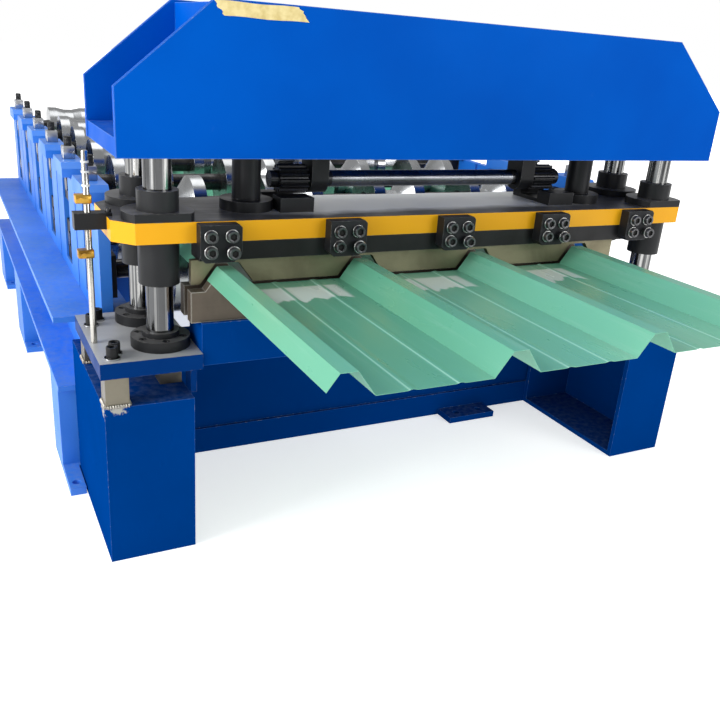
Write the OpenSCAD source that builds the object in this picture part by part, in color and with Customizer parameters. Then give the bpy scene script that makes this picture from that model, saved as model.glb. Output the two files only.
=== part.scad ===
// Roll forming machine for trapezoidal roofing sheet: the hydraulic cut-off shear at the exit end
// and the first forming stations of the bed behind it, with the formed sheet in the machine.
// +X runs to the right seen from the exit end, +Y runs upstream into the machine, +Z is up.
// The origin is on the floor, on the centre line, under the cross beam at the front of the bed.

/* [Bed] */
// Number of forming stations
stations = 6; // [3:1:8]
// Distance between stations
station_pitch = 355; // [340:5:420]
// Centre of the first station
first_station_y = 39; // [34:1:64]
// Top of the bed beams
bed_top = 450; // [430:1:460]
// Height of a bed beam
bed_beam_h = 206; // [160:1:240]
// Flange width of a bed beam
bed_beam_w = 200; // [160:1:220]
// Outer face of the bed beams, beyond the guide posts' axes
bed_end = 186; // [176:1:220]
// Flange thickness of a bed beam
bed_flange_t = 15; // [8:1:20]
// Web thickness of a bed beam
bed_web_t = 12; // [6:1:20]
// Front face of the cross beam that stands on the floor
cross_beam_y = -38; // [-42:1:-34]
// Height of the cross beam
cross_beam_h = 368; // [320:1:380]
// Height and depth of the cross beam's foot tube
foot_tube = 76; // [60:1:90]

/* [Feet] */
// Thickness of a foot plate
foot_t = 20; // [12:1:25]
// Length of a bed foot
foot_len = 287; // [240:1:320]
// Length of the front foot's lip beside the shear leg
foot_lip = 121; // [90:1:130]
// Wall of a foot box
foot_wall = 12; // [8:1:16]
// Radius of an anchor hole
anchor_r = 11; // [8:0.5:13]
// Width of the anchor plate at the cross beam
anchor_w = 175; // [140:1:200]
// Left edge of that anchor plate
anchor_x = 301; // [280:1:320]
// Length of a foot plate in front of its box
foot_front = 60; // [50:1:70]

/* [Shear legs] */
// Inner face of the legs, inside the guide posts' axes
leg_inset = 53; // [48:1:64]
// Width of a leg
leg_w = 196; // [180:1:210]
// Height of a leg
leg_h = 388; // [380:1:420]
// Front face of the legs, behind the hood's front plate
leg_front_at = -4; // [-10:1:0]
// Wall of a leg
leg_t = 14; // [8:1:20]
// Side of a packing block
pack_side = 50; // [40:1:60]
// Height of a packing block
pack_h = 68; // [60:1:80]
// Distance of the inner front packing block behind the leg's front
inner_pack = 96; // [80:1:120]

/* [Base plates] */
// Inner edge of the base plates, inside the guide posts' axes
base_inset = 72; // [66:1:74]
// Width of a base plate
base_w = 220; // [215:1:228]
// Front edge of the base plates, behind the hood's front plate
base_front_at = -6; // [-12:1:0]
// Depth of a base plate
base_len = 332; // [325:1:338]
// Thickness of a base plate
base_t = 36; // [30:1:40]
// Width of the tab under a base plate
tab_w = 42; // [34:1:50]
// Height of that tab
tab_h = 66; // [56:1:67]

/* [Guide posts] */
// Distance of the posts' axes beyond the sheet's edge
post_room = 68; // [66:1:72]
// Front post row, behind the hood's front plate
post_front_at = 83; // [80:1:90]
// Rear post row, behind the hood's front plate
post_rear_at = 257; // [250:1:262]
// Post diameter
post_d = 60; // [50:1:65]
// Diameter of the flange at the foot of a post
post_flange_d = 130; // [124:1:134]
// Thickness of that flange
post_flange_t = 24; // [18:1:30]

/* [Hood] */
// Front plane of the hood; the shear moves with it
hood_front = -476; // [-478:1:-474]
// Underside of the hood
hood_bottom = 911; // [905:1:930]
// End of the hood, beyond the guide posts' axes
hood_end = 97; // [86:1:112]
// Height where the end chamfers start
hood_shoulder = 1043; // [1000:1:1060]
// Width of the chamfer at each end of the hood
hood_chamfer_w = 196; // [176:1:216]
// Top of the hood
hood_top = 1210; // [1180:1:1240]
// Thickness of a hood plate
hood_plate_t = 14; // [10:1:20]
// Outside depth of the hood over both plates
hood_depth = 340; // [334:1:350]
// Thickness of the bottom plate of the hood
hood_base_t = 36; // [25:1:45]
// Inner face of the hood's middle ribs
hood_rib_x = 186; // [150:1:220]

/* [Platen] */
// Underside of the platen
platen_bottom = 731; // [726:1:736]
// Thickness of the platen
platen_t = 45; // [40:1:50]
// End of the platen, beyond the guide posts' axes
platen_end = 100; // [92:1:115]
// Front face of the platen, behind the hood's front plate
platen_front_at = 34; // [32:1:36]
// Rear face of the platen, behind the hood's front plate
platen_rear_at = 300; // [298:1:310]
// Cut at each corner of the platen
platen_corner = 42; // [25:1:60]
// Outer diameter of a guide bush
bush_d = 88; // [84:1:92]
// Length of a bush under the platen
bush_drop = 95; // [80:1:105]
// Length of a bush above the platen's flange
bush_rise = 44; // [30:1:46]
// Diameter of a bush flange
bush_flange_d = 152; // [140:1:165]
// Thickness of a bush flange
bush_flange_t = 18; // [14:1:24]
// Running clearance of a bush on its post
bush_clear = 0.6; // [0.5:0.05:0.8]

/* [Blades] */
// Number of blade clamps
clamps = 5; // [3:1:5]
// Distance of the end clamps inside the guide posts' axes
clamp_inset = 115; // [112:1:125]
// Width of a clamp
clamp_w = 92; // [84:1:98]
// Height of a clamp
clamp_h = 81; // [76:1:84]
// Thickness of a clamp
clamp_t = 30; // [24:1:32]
// Chamfer at a clamp's bottom corners
clamp_chamfer = 18; // [8:1:22]
// Radius of a clamp screw's head
screw_head_r = 15; // [12:0.5:16]
// Height of the blade bar
bar_h = 41; // [36:1:42]
// Depth of the blade bar
bar_depth = 62; // [55:1:70]
// End of the blade bar, inside the guide posts' axes
bar_inset = 75; // [68:1:95]
// Thickness of the upper blade
blade_t = 16; // [12:1:18]
// Length of the upper blade beyond the sheet's left edge
blade_over_left = 8; // [5:1:12]
// Length of the upper blade beyond the sheet's right edge
blade_over_right = 67; // [60:1:78]
// Gap between a blade and the sheet below it
blade_gap = 5; // [5:0.5:6]
// Gap between the upper blade and each lower blade
slot_gap = 6; // [5:0.5:8]
// Thickness of a lower blade
lower_blade_t = 28; // [22:1:32]
// Length of a lower blade beyond the sheet, each side
lower_blade_over = 18; // [10:1:18]
// Height of a lower blade under the sheet
lower_blade_h = 70; // [60:1:80]

/* [Sheet] */
// Number of ribs across the sheet
ribs = 4; // [2:1:4]
// Distance between ribs
rib_pitch = 333; // [320:1:335]
// Distance of the sheet's middle left of the centre line
sheet_shift = 83.5; // [80:0.5:86]
// Height of a rib
rib_h = 46; // [35:1:46]
// Width of a rib's top
rib_top = 32; // [26:1:36]
// Width of a rib at its base
rib_base = 100; // [90:1:104]
// How far the left rib's outer flank runs before the sheet ends
edge_run = 22; // [16:1:30]
// Thickness of the sheet, as modelled
sheet_t = 1; // [1:0.1:1.4]
// Underside of the sheet in the pans
pan_z = 629; // [628:1:630]
// Length of sheet that stands out in front of the hood
sheet_out = 588; // [400:1:700]

/* [Rolls] */
// Radius of both rolls at the pans
roll_r = 80; // [76:1:82]
// Radius of a roll shaft
shaft_r = 25; // [20:1:26]
// Gap between a roll and the sheet
roll_gap = 0.8; // [0.7:0.05:0.9]
// Width of a roll beyond the rib's base, each side
roll_shoulder = 34; // [25:1:50]
// Radius of a shaft journal in its bearing block
journal_r = 22; // [18:1:24]
// Running clearance of a journal in its block
journal_clear = 0.6; // [0.5:0.05:0.8]

/* [Stands] */
// Thickness of a stand plate
stand_t = 28; // [24:1:32]
// Distance of the stand plates inside the bed beams' outer faces
stand_inset = 105; // [100:1:111]
// Gap between neighbouring stand plates
stand_gap = 15; // [10:1:25]
// Top of a stand plate
stand_top = 742; // [740:1:760]
// Width of a stand's window
window_w = 110; // [104:1:120]
// Thickness of a bearing block
block_t = 56; // [50:1:60]
// Height of a stand's cap
cap_h = 40; // [30:1:48]
// Width of a stand's cap
cap_w = 64; // [56:1:66]
// Side of the square nut on an adjusting screw
nut_side = 34; // [28:1:38]
// Height of that nut
nut_h = 36; // [28:1:42]
// Radius of an adjusting screw
adjuster_r = 12; // [10:0.5:13]
// Length of an adjusting screw above the cap
adjuster_h = 62; // [50:1:80]

/* [Synchronising shaft] */
// Module of the pinions and racks
gear_module = 4; // [4:1:4]
// Teeth on a pinion
pinion_teeth = 15; // [14:1:16]
// Width of a pinion
pinion_w = 72; // [60:1:76]
// Distance of the pinions inside the guide posts' axes
pinion_inset = 343; // [338:1:348]
// Diameter of the shaft
sync_d = 40; // [36:1:44]
// Height of the shaft's axis
sync_z = 838; // [836:1:840]
// Distance of the shaft's axis behind the hood's front plate
sync_at = 190; // [186:1:194]
// Width of a hanger that carries the shaft
hanger_w = 44; // [32:1:50]
// Height of the blocks on a rack's foot plate
rack_foot_t = 24; // [18:1:28]
// Height of the front one, which the cylinder flange stands beside
rack_block_t = 33; // [28:1:36]
// Thickness of that foot plate
rack_plate_t = 10; // [8:1:11]

/* [Cylinders] */
// Distance of the cylinders inside the guide posts' axes
cylinder_inset = 222; // [216:1:230]
// Distance of the cylinders behind the hood's front plate
cylinder_at = 161; // [156:1:166]
// Diameter of a cylinder's rod
rod_d = 66; // [58:1:68]
// Outer diameter of a cylinder's barrel
barrel_d = 120; // [110:1:130]
// Diameter of the flange that joins a rod to the platen
rod_flange_d = 122; // [110:1:126]
// Thickness of that flange
rod_flange_t = 24; // [20:1:28]
// Length of a rod above the platen
rod_len = 240; // [230:1:250]
// Height of a barrel above the hood's bottom plate
barrel_h = 190; // [170:1:210]

/* [Position switches] */
// Distance of the switch rod beyond the platen's end
switch_out = 36; // [30:1:40]
// Distance of the switch rod behind the hood's front plate
switch_at = 128; // [120:1:140]
// Radius of the switch rod
switch_rod_r = 7; // [6:0.5:8]
// Height of the switch rod above the base plate
switch_rod_h = 417; // [405:1:418]
// Underside of the lower switch, below the platen
lower_switch_drop = 45; // [42:1:60]
// Underside of the upper switch, above the platen
upper_switch_rise = 26; // [26:1:40]
// Height of a switch
switch_h = 18; // [14:1:22]
// Height of the bracket on the platen
bracket_h = 35; // [30:1:38]

/* [Hidden] */
$fn = 64;
touch = 0.3;
function rib_x(i) = first_rib_x + i * rib_pitch;
first_rib_x = -(ribs - 1) * rib_pitch / 2 - sheet_shift;
sheet_left = first_rib_x - rib_base / 2 - 14;
sheet_right = first_rib_x + (ribs - 1) * rib_pitch + rib_base / 2 + 16;
post_x = max(-sheet_left, sheet_right) + post_room;
bed_half_w = post_x + bed_end;
leg_in = post_x - leg_inset;
base_in = post_x - base_inset;
hood_half_w = post_x + hood_end;
hood_top_half_w = hood_half_w - hood_chamfer_w;
platen_half_w = post_x + platen_end;
clamp_pitch = 2 * (post_x - clamp_inset) / (clamps - 1);
bar_half_w = post_x - bar_inset;
blade_left = sheet_left - blade_over_left;
blade_right = sheet_right + blade_over_right;
stand_half_w = bed_half_w - stand_inset;
pinion_x = post_x - pinion_inset;
cylinder_x = post_x - cylinder_inset;
rod_x = -platen_half_w - switch_out;
rod_y = hood_front + switch_at;
sync_y = hood_front + sync_at;
cylinder_y = hood_front + cylinder_at;
platen_rear = hood_front + platen_rear_at;
platen_front = hood_front + platen_front_at;
post_rear_y = hood_front + post_rear_at;
post_front_y = hood_front + post_front_at;
base_front = hood_front + base_front_at;
leg_front = hood_front + leg_front_at;
eps = 0.01;
bed_front = cross_beam_y + 2;
bed_rear = first_station_y + (stations - 0.5) * station_pitch + 20;
bed_in = bed_half_w - bed_beam_w;
bed_bottom = bed_top - bed_beam_h;
leg_out = leg_in + leg_w;
base_bottom = leg_h + pack_h;
base_top = base_bottom + base_t;
base_out = base_in + base_w;
base_rear = base_front + base_len;
platen_top = platen_bottom + platen_t;
post_top = hood_bottom + hood_base_t + 26;
clamp_bottom = 693;
clamp_first_x = -clamp_pitch * (clamps - 1) / 2;
screw_dx = 23;
screw_z_high = 750;
screw_z_low = 716.5;
blade_y = platen_front + 12;
slot_front = blade_y - slot_gap;
slot_rear = blade_y + blade_t + slot_gap;
lower_front_y = slot_front - lower_blade_t;
lower_rear_y = slot_rear + lower_blade_t;
bar_bottom = platen_bottom - bar_h;
stand_len = station_pitch - stand_gap;
stand_in = stand_half_w - stand_t;
top_shaft_z = pan_z + sheet_t + roll_gap + roll_r;
bottom_shaft_z = pan_z - roll_gap - roll_r;
cap_x = stand_half_w - stand_t / 2;
block_out = stand_half_w - 6;
block_x = block_out - block_t / 2;
shaft_half = block_out + 4;
pitch_r = gear_module * pinion_teeth / 2;
rack_y = sync_y + pitch_r;
function station_y(k) = first_station_y + k * station_pitch;
// Share of the full rib height at a distance y upstream: full at the first station, 0 behind the last
function formed(y) = max(0, min(1, 1 - (y - first_station_y) / (stations * station_pitch)));

// Shapes that repeat

module both_sides() {
    children();
    mirror([1, 0, 0]) children();
}

module box(low, high) {
    translate(low) cube(high - low);
}

module at_posts() {
    for (side = [-1, 1], y = [post_front_y, post_rear_y]) translate([side * post_x, y, 0]) children();
}

module bolt_circle(count, r) {
    for (i = [0 : count - 1]) rotate([0, 0, (i + 0.5) * 360 / count]) translate([r, 0, 0]) children();
}

// Bed

module bed_beam() {
    web_x = bed_half_w - bed_beam_w / 2 - bed_web_t / 2;
    box([bed_in, bed_front, bed_top - bed_flange_t], [bed_half_w, bed_rear, bed_top]);
    box([bed_in, bed_front, bed_bottom], [bed_half_w, bed_rear, bed_bottom + bed_flange_t]);
    box([web_x, bed_front, bed_bottom], [web_x + bed_web_t, bed_rear, bed_top]);
}

module left_bed_beam() color("royalblue") mirror([1, 0, 0]) bed_beam();
module right_bed_beam() color("royalblue") bed_beam();

module anchor_plate(x, y, w, d) {
    difference() {
        box([x, y, 0], [x + w, y + d, foot_t]);
        for (dx = [0.25, 0.75]) translate([x + w * dx, y + 34, -1]) cylinder(r = anchor_r, h = foot_t + 2);
    }
}

module front_cross_beam() color("navy") {
    half = bed_in - 1;
    box([-half, cross_beam_y, 0], [half, cross_beam_y + foot_tube, foot_tube]);
    box([-half, cross_beam_y + 10, foot_tube - eps], [half, cross_beam_y + 22, cross_beam_h]);
    box([-half, cross_beam_y, cross_beam_h - 16], [half, cross_beam_y + foot_tube, cross_beam_h]);
    anchor_plate(anchor_x, cross_beam_y - foot_tube, anchor_w, foot_tube + eps);
}

module bed_cross_ties() color("navy") {
    tie_y = [for (k = [1 : 2 : stations - 1]) station_y(k) + station_pitch / 2];
    half = bed_half_w - bed_beam_w / 2 - bed_web_t / 2;
    for (y = tie_y)
        box([-half, y - 50, bed_bottom + 30], [half, y + 50, bed_top - 30]);
}

module bed_foot(y) {
    difference() {
        box([bed_in, y, 0], [bed_half_w, y + foot_len, foot_t]);
        for (x = [bed_in + 30, bed_half_w - 30])
            translate([x, y + 34, -1]) cylinder(r = anchor_r, h = foot_t + 2);
    }
    box([bed_half_w - foot_wall, y + foot_front, foot_t - eps], [bed_half_w, y + foot_len, bed_bottom]);
    box([bed_in + 14, y + foot_front, foot_t - eps], [bed_in + 14 + foot_wall, y + foot_len, bed_bottom]);
    for (dy = [foot_front, foot_len - foot_wall])
        box([bed_in + 14, y + dy, foot_t - eps], [bed_half_w, y + dy + foot_wall, bed_bottom]);
}

// The front foot reaches forward beside the shear leg, and is cut back where the leg stands
module front_bed_foot() {
    lip_y = cross_beam_y - foot_lip;
    lip_in = leg_out + 3;
    foot_rear = lip_y + foot_len;
    difference() {
        union() {
            box([lip_in, lip_y, 0], [bed_half_w, bed_front + 30, foot_t]);
            box([bed_in, bed_front, 0], [bed_half_w, foot_rear, foot_t]);
        }
        translate([(lip_in + bed_half_w) / 2, lip_y + 33, -1]) cylinder(r = anchor_r, h = foot_t + 2);
    }
    box([bed_half_w - foot_wall, bed_front + 14, foot_t - eps], [bed_half_w, foot_rear, bed_bottom]);
    box([bed_in + 14, bed_front + 14, foot_t - eps], [bed_in + 14 + foot_wall, foot_rear, bed_bottom]);
    for (y = [bed_front + 14, foot_rear - foot_wall])
        box([bed_in + 14, y, foot_t - eps], [bed_half_w, y + foot_wall, bed_bottom]);
}

module bed_feet() {
    front_bed_foot();
    bed_foot((bed_front + bed_rear - foot_len) / 2 + 60);
    bed_foot(bed_rear - foot_len);
}

module left_bed_feet() color("royalblue") mirror([1, 0, 0]) bed_feet();
module right_bed_feet() color("royalblue") bed_feet();

// Shear frame

// Bent plate box, open towards the middle of the machine
module leg() {
    rear = cross_beam_y;
    difference() {
        box([leg_in, leg_front, 0], [leg_out, rear, leg_h]);
        box([leg_in - 1, leg_front + leg_t, leg_t], [leg_out - leg_t, rear - leg_t, leg_h - leg_t]);
    }
}

module left_leg() color("mediumblue") mirror([1, 0, 0]) leg();
module right_leg() color("mediumblue") leg();

module packing_blocks() color("gainsboro") both_sides() {
    rear = base_rear - pack_side - 10;
    for (p = [[leg_out - pack_side - 4, leg_front + 3], [leg_in + 4, leg_front + inner_pack],
              [leg_out - pack_side - 4, rear], [leg_in + 4, rear]])
        box([p[0], p[1], leg_h], [p[0] + pack_side, p[1] + pack_side, base_bottom]);
}

// Plate under the guide posts, with a tab that hangs at its inner front corner
module base_plate() {
    box([base_in, base_front, base_bottom], [base_out, base_rear, base_top]);
    box([base_in + 6, base_front + 30, base_bottom - tab_h],
        [base_in + 20, base_front + 30 + tab_w, base_bottom]);
}

module left_base_plate() color("slateblue") mirror([1, 0, 0]) base_plate();
module right_base_plate() color("slateblue") base_plate();

module guide_posts() color("silver") at_posts() {
    translate([0, 0, base_top]) cylinder(d = post_d, h = post_top - base_top);
}

module post_flanges() color("dimgray") at_posts() {
    difference() {
        union() {
            translate([0, 0, base_top]) cylinder(d = post_flange_d, h = post_flange_t);
            translate([0, 0, base_top]) cylinder(d = post_d + 22, h = post_flange_t + 12);
        }
        translate([0, 0, base_top - 1]) cylinder(d = post_d, h = post_flange_t + 14);
        bolt_circle(6, post_flange_d / 2 - 14)
            translate([0, 0, base_top + post_flange_t - 9]) cylinder(r = 8, h = 20);
    }
}

module hood_outline() {
    polygon([[-hood_half_w, hood_bottom], [hood_half_w, hood_bottom], [hood_half_w, hood_shoulder],
             [hood_top_half_w, hood_top], [-hood_top_half_w, hood_top], [-hood_half_w, hood_shoulder]]);
}

module hood_plate(y) {
    translate([0, y + hood_plate_t, 0]) rotate([90, 0, 0]) linear_extrude(hood_plate_t) hood_outline();
}

module hood_front_plate() color("blue") hood_plate(hood_front);
module hood_rear_plate() color("blue") hood_plate(hood_front + hood_depth - hood_plate_t);

module hood_bottom_plate() color("blue") {
    difference() {
        box([-hood_half_w + 2, hood_front + hood_plate_t, hood_bottom],
            [hood_half_w - 2, hood_front + hood_depth - hood_plate_t, hood_bottom + hood_base_t]);
        at_posts() translate([0, 0, hood_bottom - 1]) cylinder(d = post_d, h = hood_base_t + 2);
        for (side = [-1, 1]) translate([side * cylinder_x, cylinder_y, hood_bottom - 1])
            cylinder(d = rod_d + 10, h = hood_base_t + 2);
        for (side = [-1, 1])
            box([side * pinion_x - 32, rack_y - 8, hood_bottom - 1],
                [side * pinion_x + 32, rack_y + 44, hood_bottom + hood_base_t + 1]);
    }
}

module hood_ribs() color("blue") {
    for (x = [-hood_top_half_w + 6, -hood_rib_x - 14, hood_rib_x, hood_top_half_w - 20])
        box([x, hood_front + hood_plate_t, hood_bottom + hood_base_t],
            [x + 14, hood_front + hood_depth - hood_plate_t, hood_top - 6]);
}

module cylinders() color("dimgray") {
    for (side = [-1, 1]) translate([side * cylinder_x, cylinder_y, hood_bottom + hood_base_t]) {
        difference() {
            union() {
                cylinder(d = barrel_d, h = barrel_h);
                cylinder(d = barrel_d + 36, h = 24);
            }
            translate([0, 0, -1]) cylinder(d = rod_d + 1.2, h = barrel_h - 39);
        }
    }
}

// Sheet and dies

// Height of the formed sheet's underside over the pan at a place across the sheet, for a share of depth
function rib_profile(x, share) =
    let (inner = rib_top / 2, outer = rib_base / 2,
         d = min([for (i = [0 : ribs - 1]) abs(x - rib_x(i))]))
    share * rib_h * max(0, min(1, (outer - d) / (outer - inner)));

// Places across the sheet where its profile bends
die_x = concat([sheet_left],
    [for (i = [0 : ribs - 1]) each [rib_x(i) - rib_base / 2, rib_x(i) - rib_top / 2,
                                    rib_x(i) + rib_top / 2, rib_x(i) + rib_base / 2]],
    [sheet_right]);

// The sheet's left edge ends part way down the first rib's outer flank
bend_x = concat([first_rib_x - rib_top / 2 - edge_run], [for (i = [2 : len(die_x) - 1]) die_x[i]]);
bends = len(bend_x);

// Outline of the sheet's section: along the top and back along the underside
function section(share, low, high) = concat(
    [for (x = bend_x) [x, pan_z + rib_profile(x, share) + high]],
    [for (i = [bends - 1 : -1 : 0]) [bend_x[i], pan_z + rib_profile(bend_x[i], share) + low]]);

module across(y0, y1) {
    translate([0, y1, 0]) rotate([90, 0, 0]) linear_extrude(y1 - y0) children();
}

module formed_panel() color("mediumaquamarine")
    across(hood_front - sheet_out, slot_front) polygon(section(1, 0, sheet_t));

// The strip between the shear and the last station grows flatter upstream, one ring at each station
module strip_in_rolls() color("mediumaquamarine") {
    rings = concat([slot_rear], [for (k = [0 : stations - 1]) station_y(k)], [bed_rear - 20]);
    count = 2 * bends;
    points = [for (y = rings) each [for (p = section(formed(y), 0, sheet_t)) [p[0], y, p[1]]]];
    last = (len(rings) - 1) * count;
    caps = [for (j = [0 : bends - 2])
        each [[j, j + 1, count - 2 - j, count - 1 - j],
              [last + count - 1 - j, last + count - 2 - j, last + j + 1, last + j]]];
    walls = [for (r = [0 : len(rings) - 2], j = [0 : count - 1])
        let (a = r * count + j, b = r * count + (j + 1) % count)
        each j < bends
            ? [[a, a + count, b + count], [a, b + count, b]]
            : [[a, a + count, b], [b, a + count, b + count]]];
    polyhedron(points, concat(caps, walls));
}

// Beam between the two base plates that carries the lower blades
module die_beam() color("dimgray") {
    low = base_bottom + 4;
    high = pan_z - lower_blade_h;
    box([-base_in, lower_front_y - 8, low], [base_in, lower_rear_y + 8, high - touch]);
}

module lower_blade(y) {
    low = pan_z - lower_blade_h;
    difference() {
        across(y, y + lower_blade_t) polygon(concat(
            [for (x = die_x) [x, pan_z + rib_profile(x, 1) - touch]],
            [[sheet_right + lower_blade_over, pan_z - touch], [sheet_right + lower_blade_over, low],
             [sheet_left - lower_blade_over, low], [sheet_left - lower_blade_over, pan_z - touch]]));
        for (i = [0 : ribs - 1]) translate([rib_x(i) + rib_pitch * 0.3, y - 1, low + 22])
            rotate([-90, 0, 0]) cylinder(r = 9, h = lower_blade_t + 2);
    }
}

module lower_blade_front() color("rosybrown") lower_blade(lower_front_y);
module lower_blade_rear() color("rosybrown") lower_blade(slot_rear);

// Roll stands

module stand_plate(k) {
    y = station_y(k);
    difference() {
        box([stand_in, y - stand_len / 2, bed_top], [stand_half_w, y + stand_len / 2, stand_top]);
        box([stand_in - 1, y - window_w / 2, bed_top + 30],
            [stand_half_w + 1, y + window_w / 2, stand_top + 1]);
    }
}

module stands() for (k = [0 : stations - 1]) stand_plate(k);
module left_stands() color("dodgerblue") mirror([1, 0, 0]) stands();
module right_stands() color("dodgerblue") stands();

// A block slides in the window; its groove runs on the edges of the stand plate
module bearing_block(k, z, low, high) {
    y = station_y(k);
    difference() {
        union() {
            box([stand_in, y - window_w / 2 + touch, low], [block_out, y + window_w / 2 - touch, high]);
            box([block_x - block_t / 2, y - window_w / 2 + 8, low + 2],
                [block_out - 1, y + window_w / 2 - 8, high - 2]);
        }
        translate([block_x - block_t, y, z]) rotate([0, 90, 0])
            cylinder(r = journal_r + journal_clear, h = 2 * block_t);
    }
}

module bearing_blocks() color("dimgray") both_sides() for (k = [0 : stations - 1]) {
    bearing_block(k, bottom_shaft_z, bed_top + 30 + touch, bottom_shaft_z + 50);
    bearing_block(k, top_shaft_z, top_shaft_z - 50, stand_top - touch);
}

module stand_caps() color("dodgerblue") both_sides() for (k = [0 : stations - 1]) {
    y = station_y(k);
    half = window_w / 2 + 34;
    difference() {
        translate([cap_x - cap_w / 2, y, stand_top]) rotate([90, 0, 90]) linear_extrude(cap_w)
            polygon([[-half, 0], [half, 0], [half, cap_h - 16], [half - 16, cap_h],
                     [-half + 16, cap_h], [-half, cap_h - 16]]);
        translate([cap_x, y, stand_top - 1]) cylinder(r = adjuster_r, h = cap_h + 2);
    }
}

module adjusting_screws() color("black") both_sides() for (k = [0 : stations - 1])
    translate([cap_x, station_y(k), stand_top]) {
        cylinder(r = adjuster_r, h = cap_h + adjuster_h);
        translate([-nut_side / 2, -nut_side / 2, cap_h]) cube([nut_side, nut_side, nut_h]);
    }

// Profiles of the rolls: radius against place along the shaft
function top_roll_side(share) = [for (i = [0 : ribs - 1]) each
    let (x = rib_x(i), outer = rib_base / 2, inner = rib_top / 2, far = outer + roll_shoulder,
         low = roll_r - share * rib_h)
    [[shaft_r, x - far], [roll_r, x - far], [roll_r, x - outer], [low, x - inner],
     [low, x + inner], [roll_r, x + outer], [roll_r, x + far], [shaft_r, x + far]]];

function bottom_roll_side(share) = [for (i = [0 : ribs - 1]) each
    let (x = rib_x(i), outer = rib_base / 2, inner = rib_top / 2, far = outer + roll_shoulder,
         high = roll_r + share * rib_h)
    [[shaft_r, x - far], [roll_r, x - far], [roll_r, x - outer], [high, x - inner],
     [high, x + inner], [roll_r, x + outer], [roll_r, x + far], [shaft_r, x + far]]];

module roll_shaft(side) {
    shoulder = block_x - block_t / 2 - 6;
    rotate([90, 0, 90]) rotate_extrude() polygon(concat(
        [[0, -shaft_half], [journal_r, -shaft_half], [journal_r, -shoulder], [shaft_r, -shoulder]],
        side,
        [[shaft_r, shoulder], [journal_r, shoulder], [journal_r, shaft_half], [0, shaft_half]]));
}

module top_roll(k) color("silver")
    translate([0, station_y(k), top_shaft_z]) roll_shaft(top_roll_side(formed(station_y(k))));

module bottom_roll(k) color("silver")
    translate([0, station_y(k), bottom_shaft_z]) roll_shaft(bottom_roll_side(formed(station_y(k))));

// Moving platen

module platen() color("slategray") {
    c = platen_corner;
    difference() {
        translate([0, 0, platen_bottom]) linear_extrude(platen_t) polygon([
            [-platen_half_w + c, platen_front], [platen_half_w - c, platen_front],
            [platen_half_w, platen_front + c], [platen_half_w, platen_rear - c],
            [platen_half_w - c, platen_rear], [-platen_half_w + c, platen_rear],
            [-platen_half_w, platen_rear - c], [-platen_half_w, platen_front + c]]);
        at_posts() translate([0, 0, platen_bottom - 1]) cylinder(d = bush_d, h = platen_t + 2);
    }
}

module guide_bushes() color("dimgray") difference() {
    at_posts() {
        translate([0, 0, platen_bottom - bush_drop])
            cylinder(d = bush_d, h = bush_drop + platen_t + bush_flange_t + bush_rise);
        translate([0, 0, platen_top]) cylinder(d = bush_flange_d, h = bush_flange_t);
    }
    at_posts() translate([0, 0, platen_bottom - bush_drop - 1])
        cylinder(r = post_d / 2 + bush_clear, h = post_top - platen_bottom + bush_drop);
    box([-platen_half_w, platen_front - bush_flange_d, platen_top - 1],
        [platen_half_w, platen_front, platen_top + bush_flange_t + 1]);
}

module blade_bar() color("black")
    box([-bar_half_w, platen_front, bar_bottom], [bar_half_w, platen_front + bar_depth, platen_bottom]);

function clamp_x(i) = clamp_first_x + i * clamp_pitch;

module blade_clamps() color("black") for (i = [0 : clamps - 1]) {
    w = clamp_w / 2;
    c = clamp_chamfer;
    difference() {
        translate([clamp_x(i), platen_front, clamp_bottom]) rotate([90, 0, 0]) linear_extrude(clamp_t)
            polygon([[-w + c * 0.6, 0], [w - c, 0], [w, c], [w, clamp_h - 6], [w - 6, clamp_h],
                     [-w, clamp_h], [-w, c * 0.6]]);
        for (dx = [-screw_dx, screw_dx], z = [screw_z_high, screw_z_low])
            translate([clamp_x(i) + dx, platen_front + 1, z]) rotate([90, 0, 0])
                cylinder(r = 10, h = clamp_t + 2);
    }
}

module clamp_screws() color("black") for (i = [0 : clamps - 1], dx = [-screw_dx, screw_dx],
                                           z = [screw_z_high, screw_z_low])
    translate([clamp_x(i) + dx, platen_front, z]) rotate([90, 0, 0]) {
        cylinder(r = 10, h = clamp_t);
        translate([0, 0, clamp_t]) difference() {
            cylinder(r = screw_head_r, h = 14);
            translate([0, 0, 6]) cylinder(r = 8.5, h = 10, $fn = 6);
        }
    }

module upper_blade() color("olive") {
    wide = 20;
    notch = [for (i = [0 : ribs - 1]) each
        let (x = rib_x(i), outer = rib_base / 2, inner = rib_top / 2, z = pan_z + sheet_t + blade_gap)
        x - outer < blade_left
            ? [[blade_left, z + rib_h], [x + inner + wide, z + rib_h], [x + outer + wide, z]]
            : [[x - outer - 2, z], [x - inner - 2, z + rib_h], [x + inner + wide, z + rib_h],
               [x + outer + wide, z]]];
    across(blade_y, blade_y + blade_t) polygon(concat(
        [[blade_left, bar_bottom]],
        [for (p = notch) if (p[0] >= blade_left && p[0] < blade_right) p],
        [[blade_right, pan_z + sheet_t + blade_gap], [blade_right, bar_bottom]]));
}

module cylinder_rods() color("dimgray") for (side = [-1, 1])
    translate([side * cylinder_x, cylinder_y, platen_top]) {
        cylinder(d = rod_flange_d, h = rod_flange_t);
        cylinder(d = rod_d, h = rod_len);
    }

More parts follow.
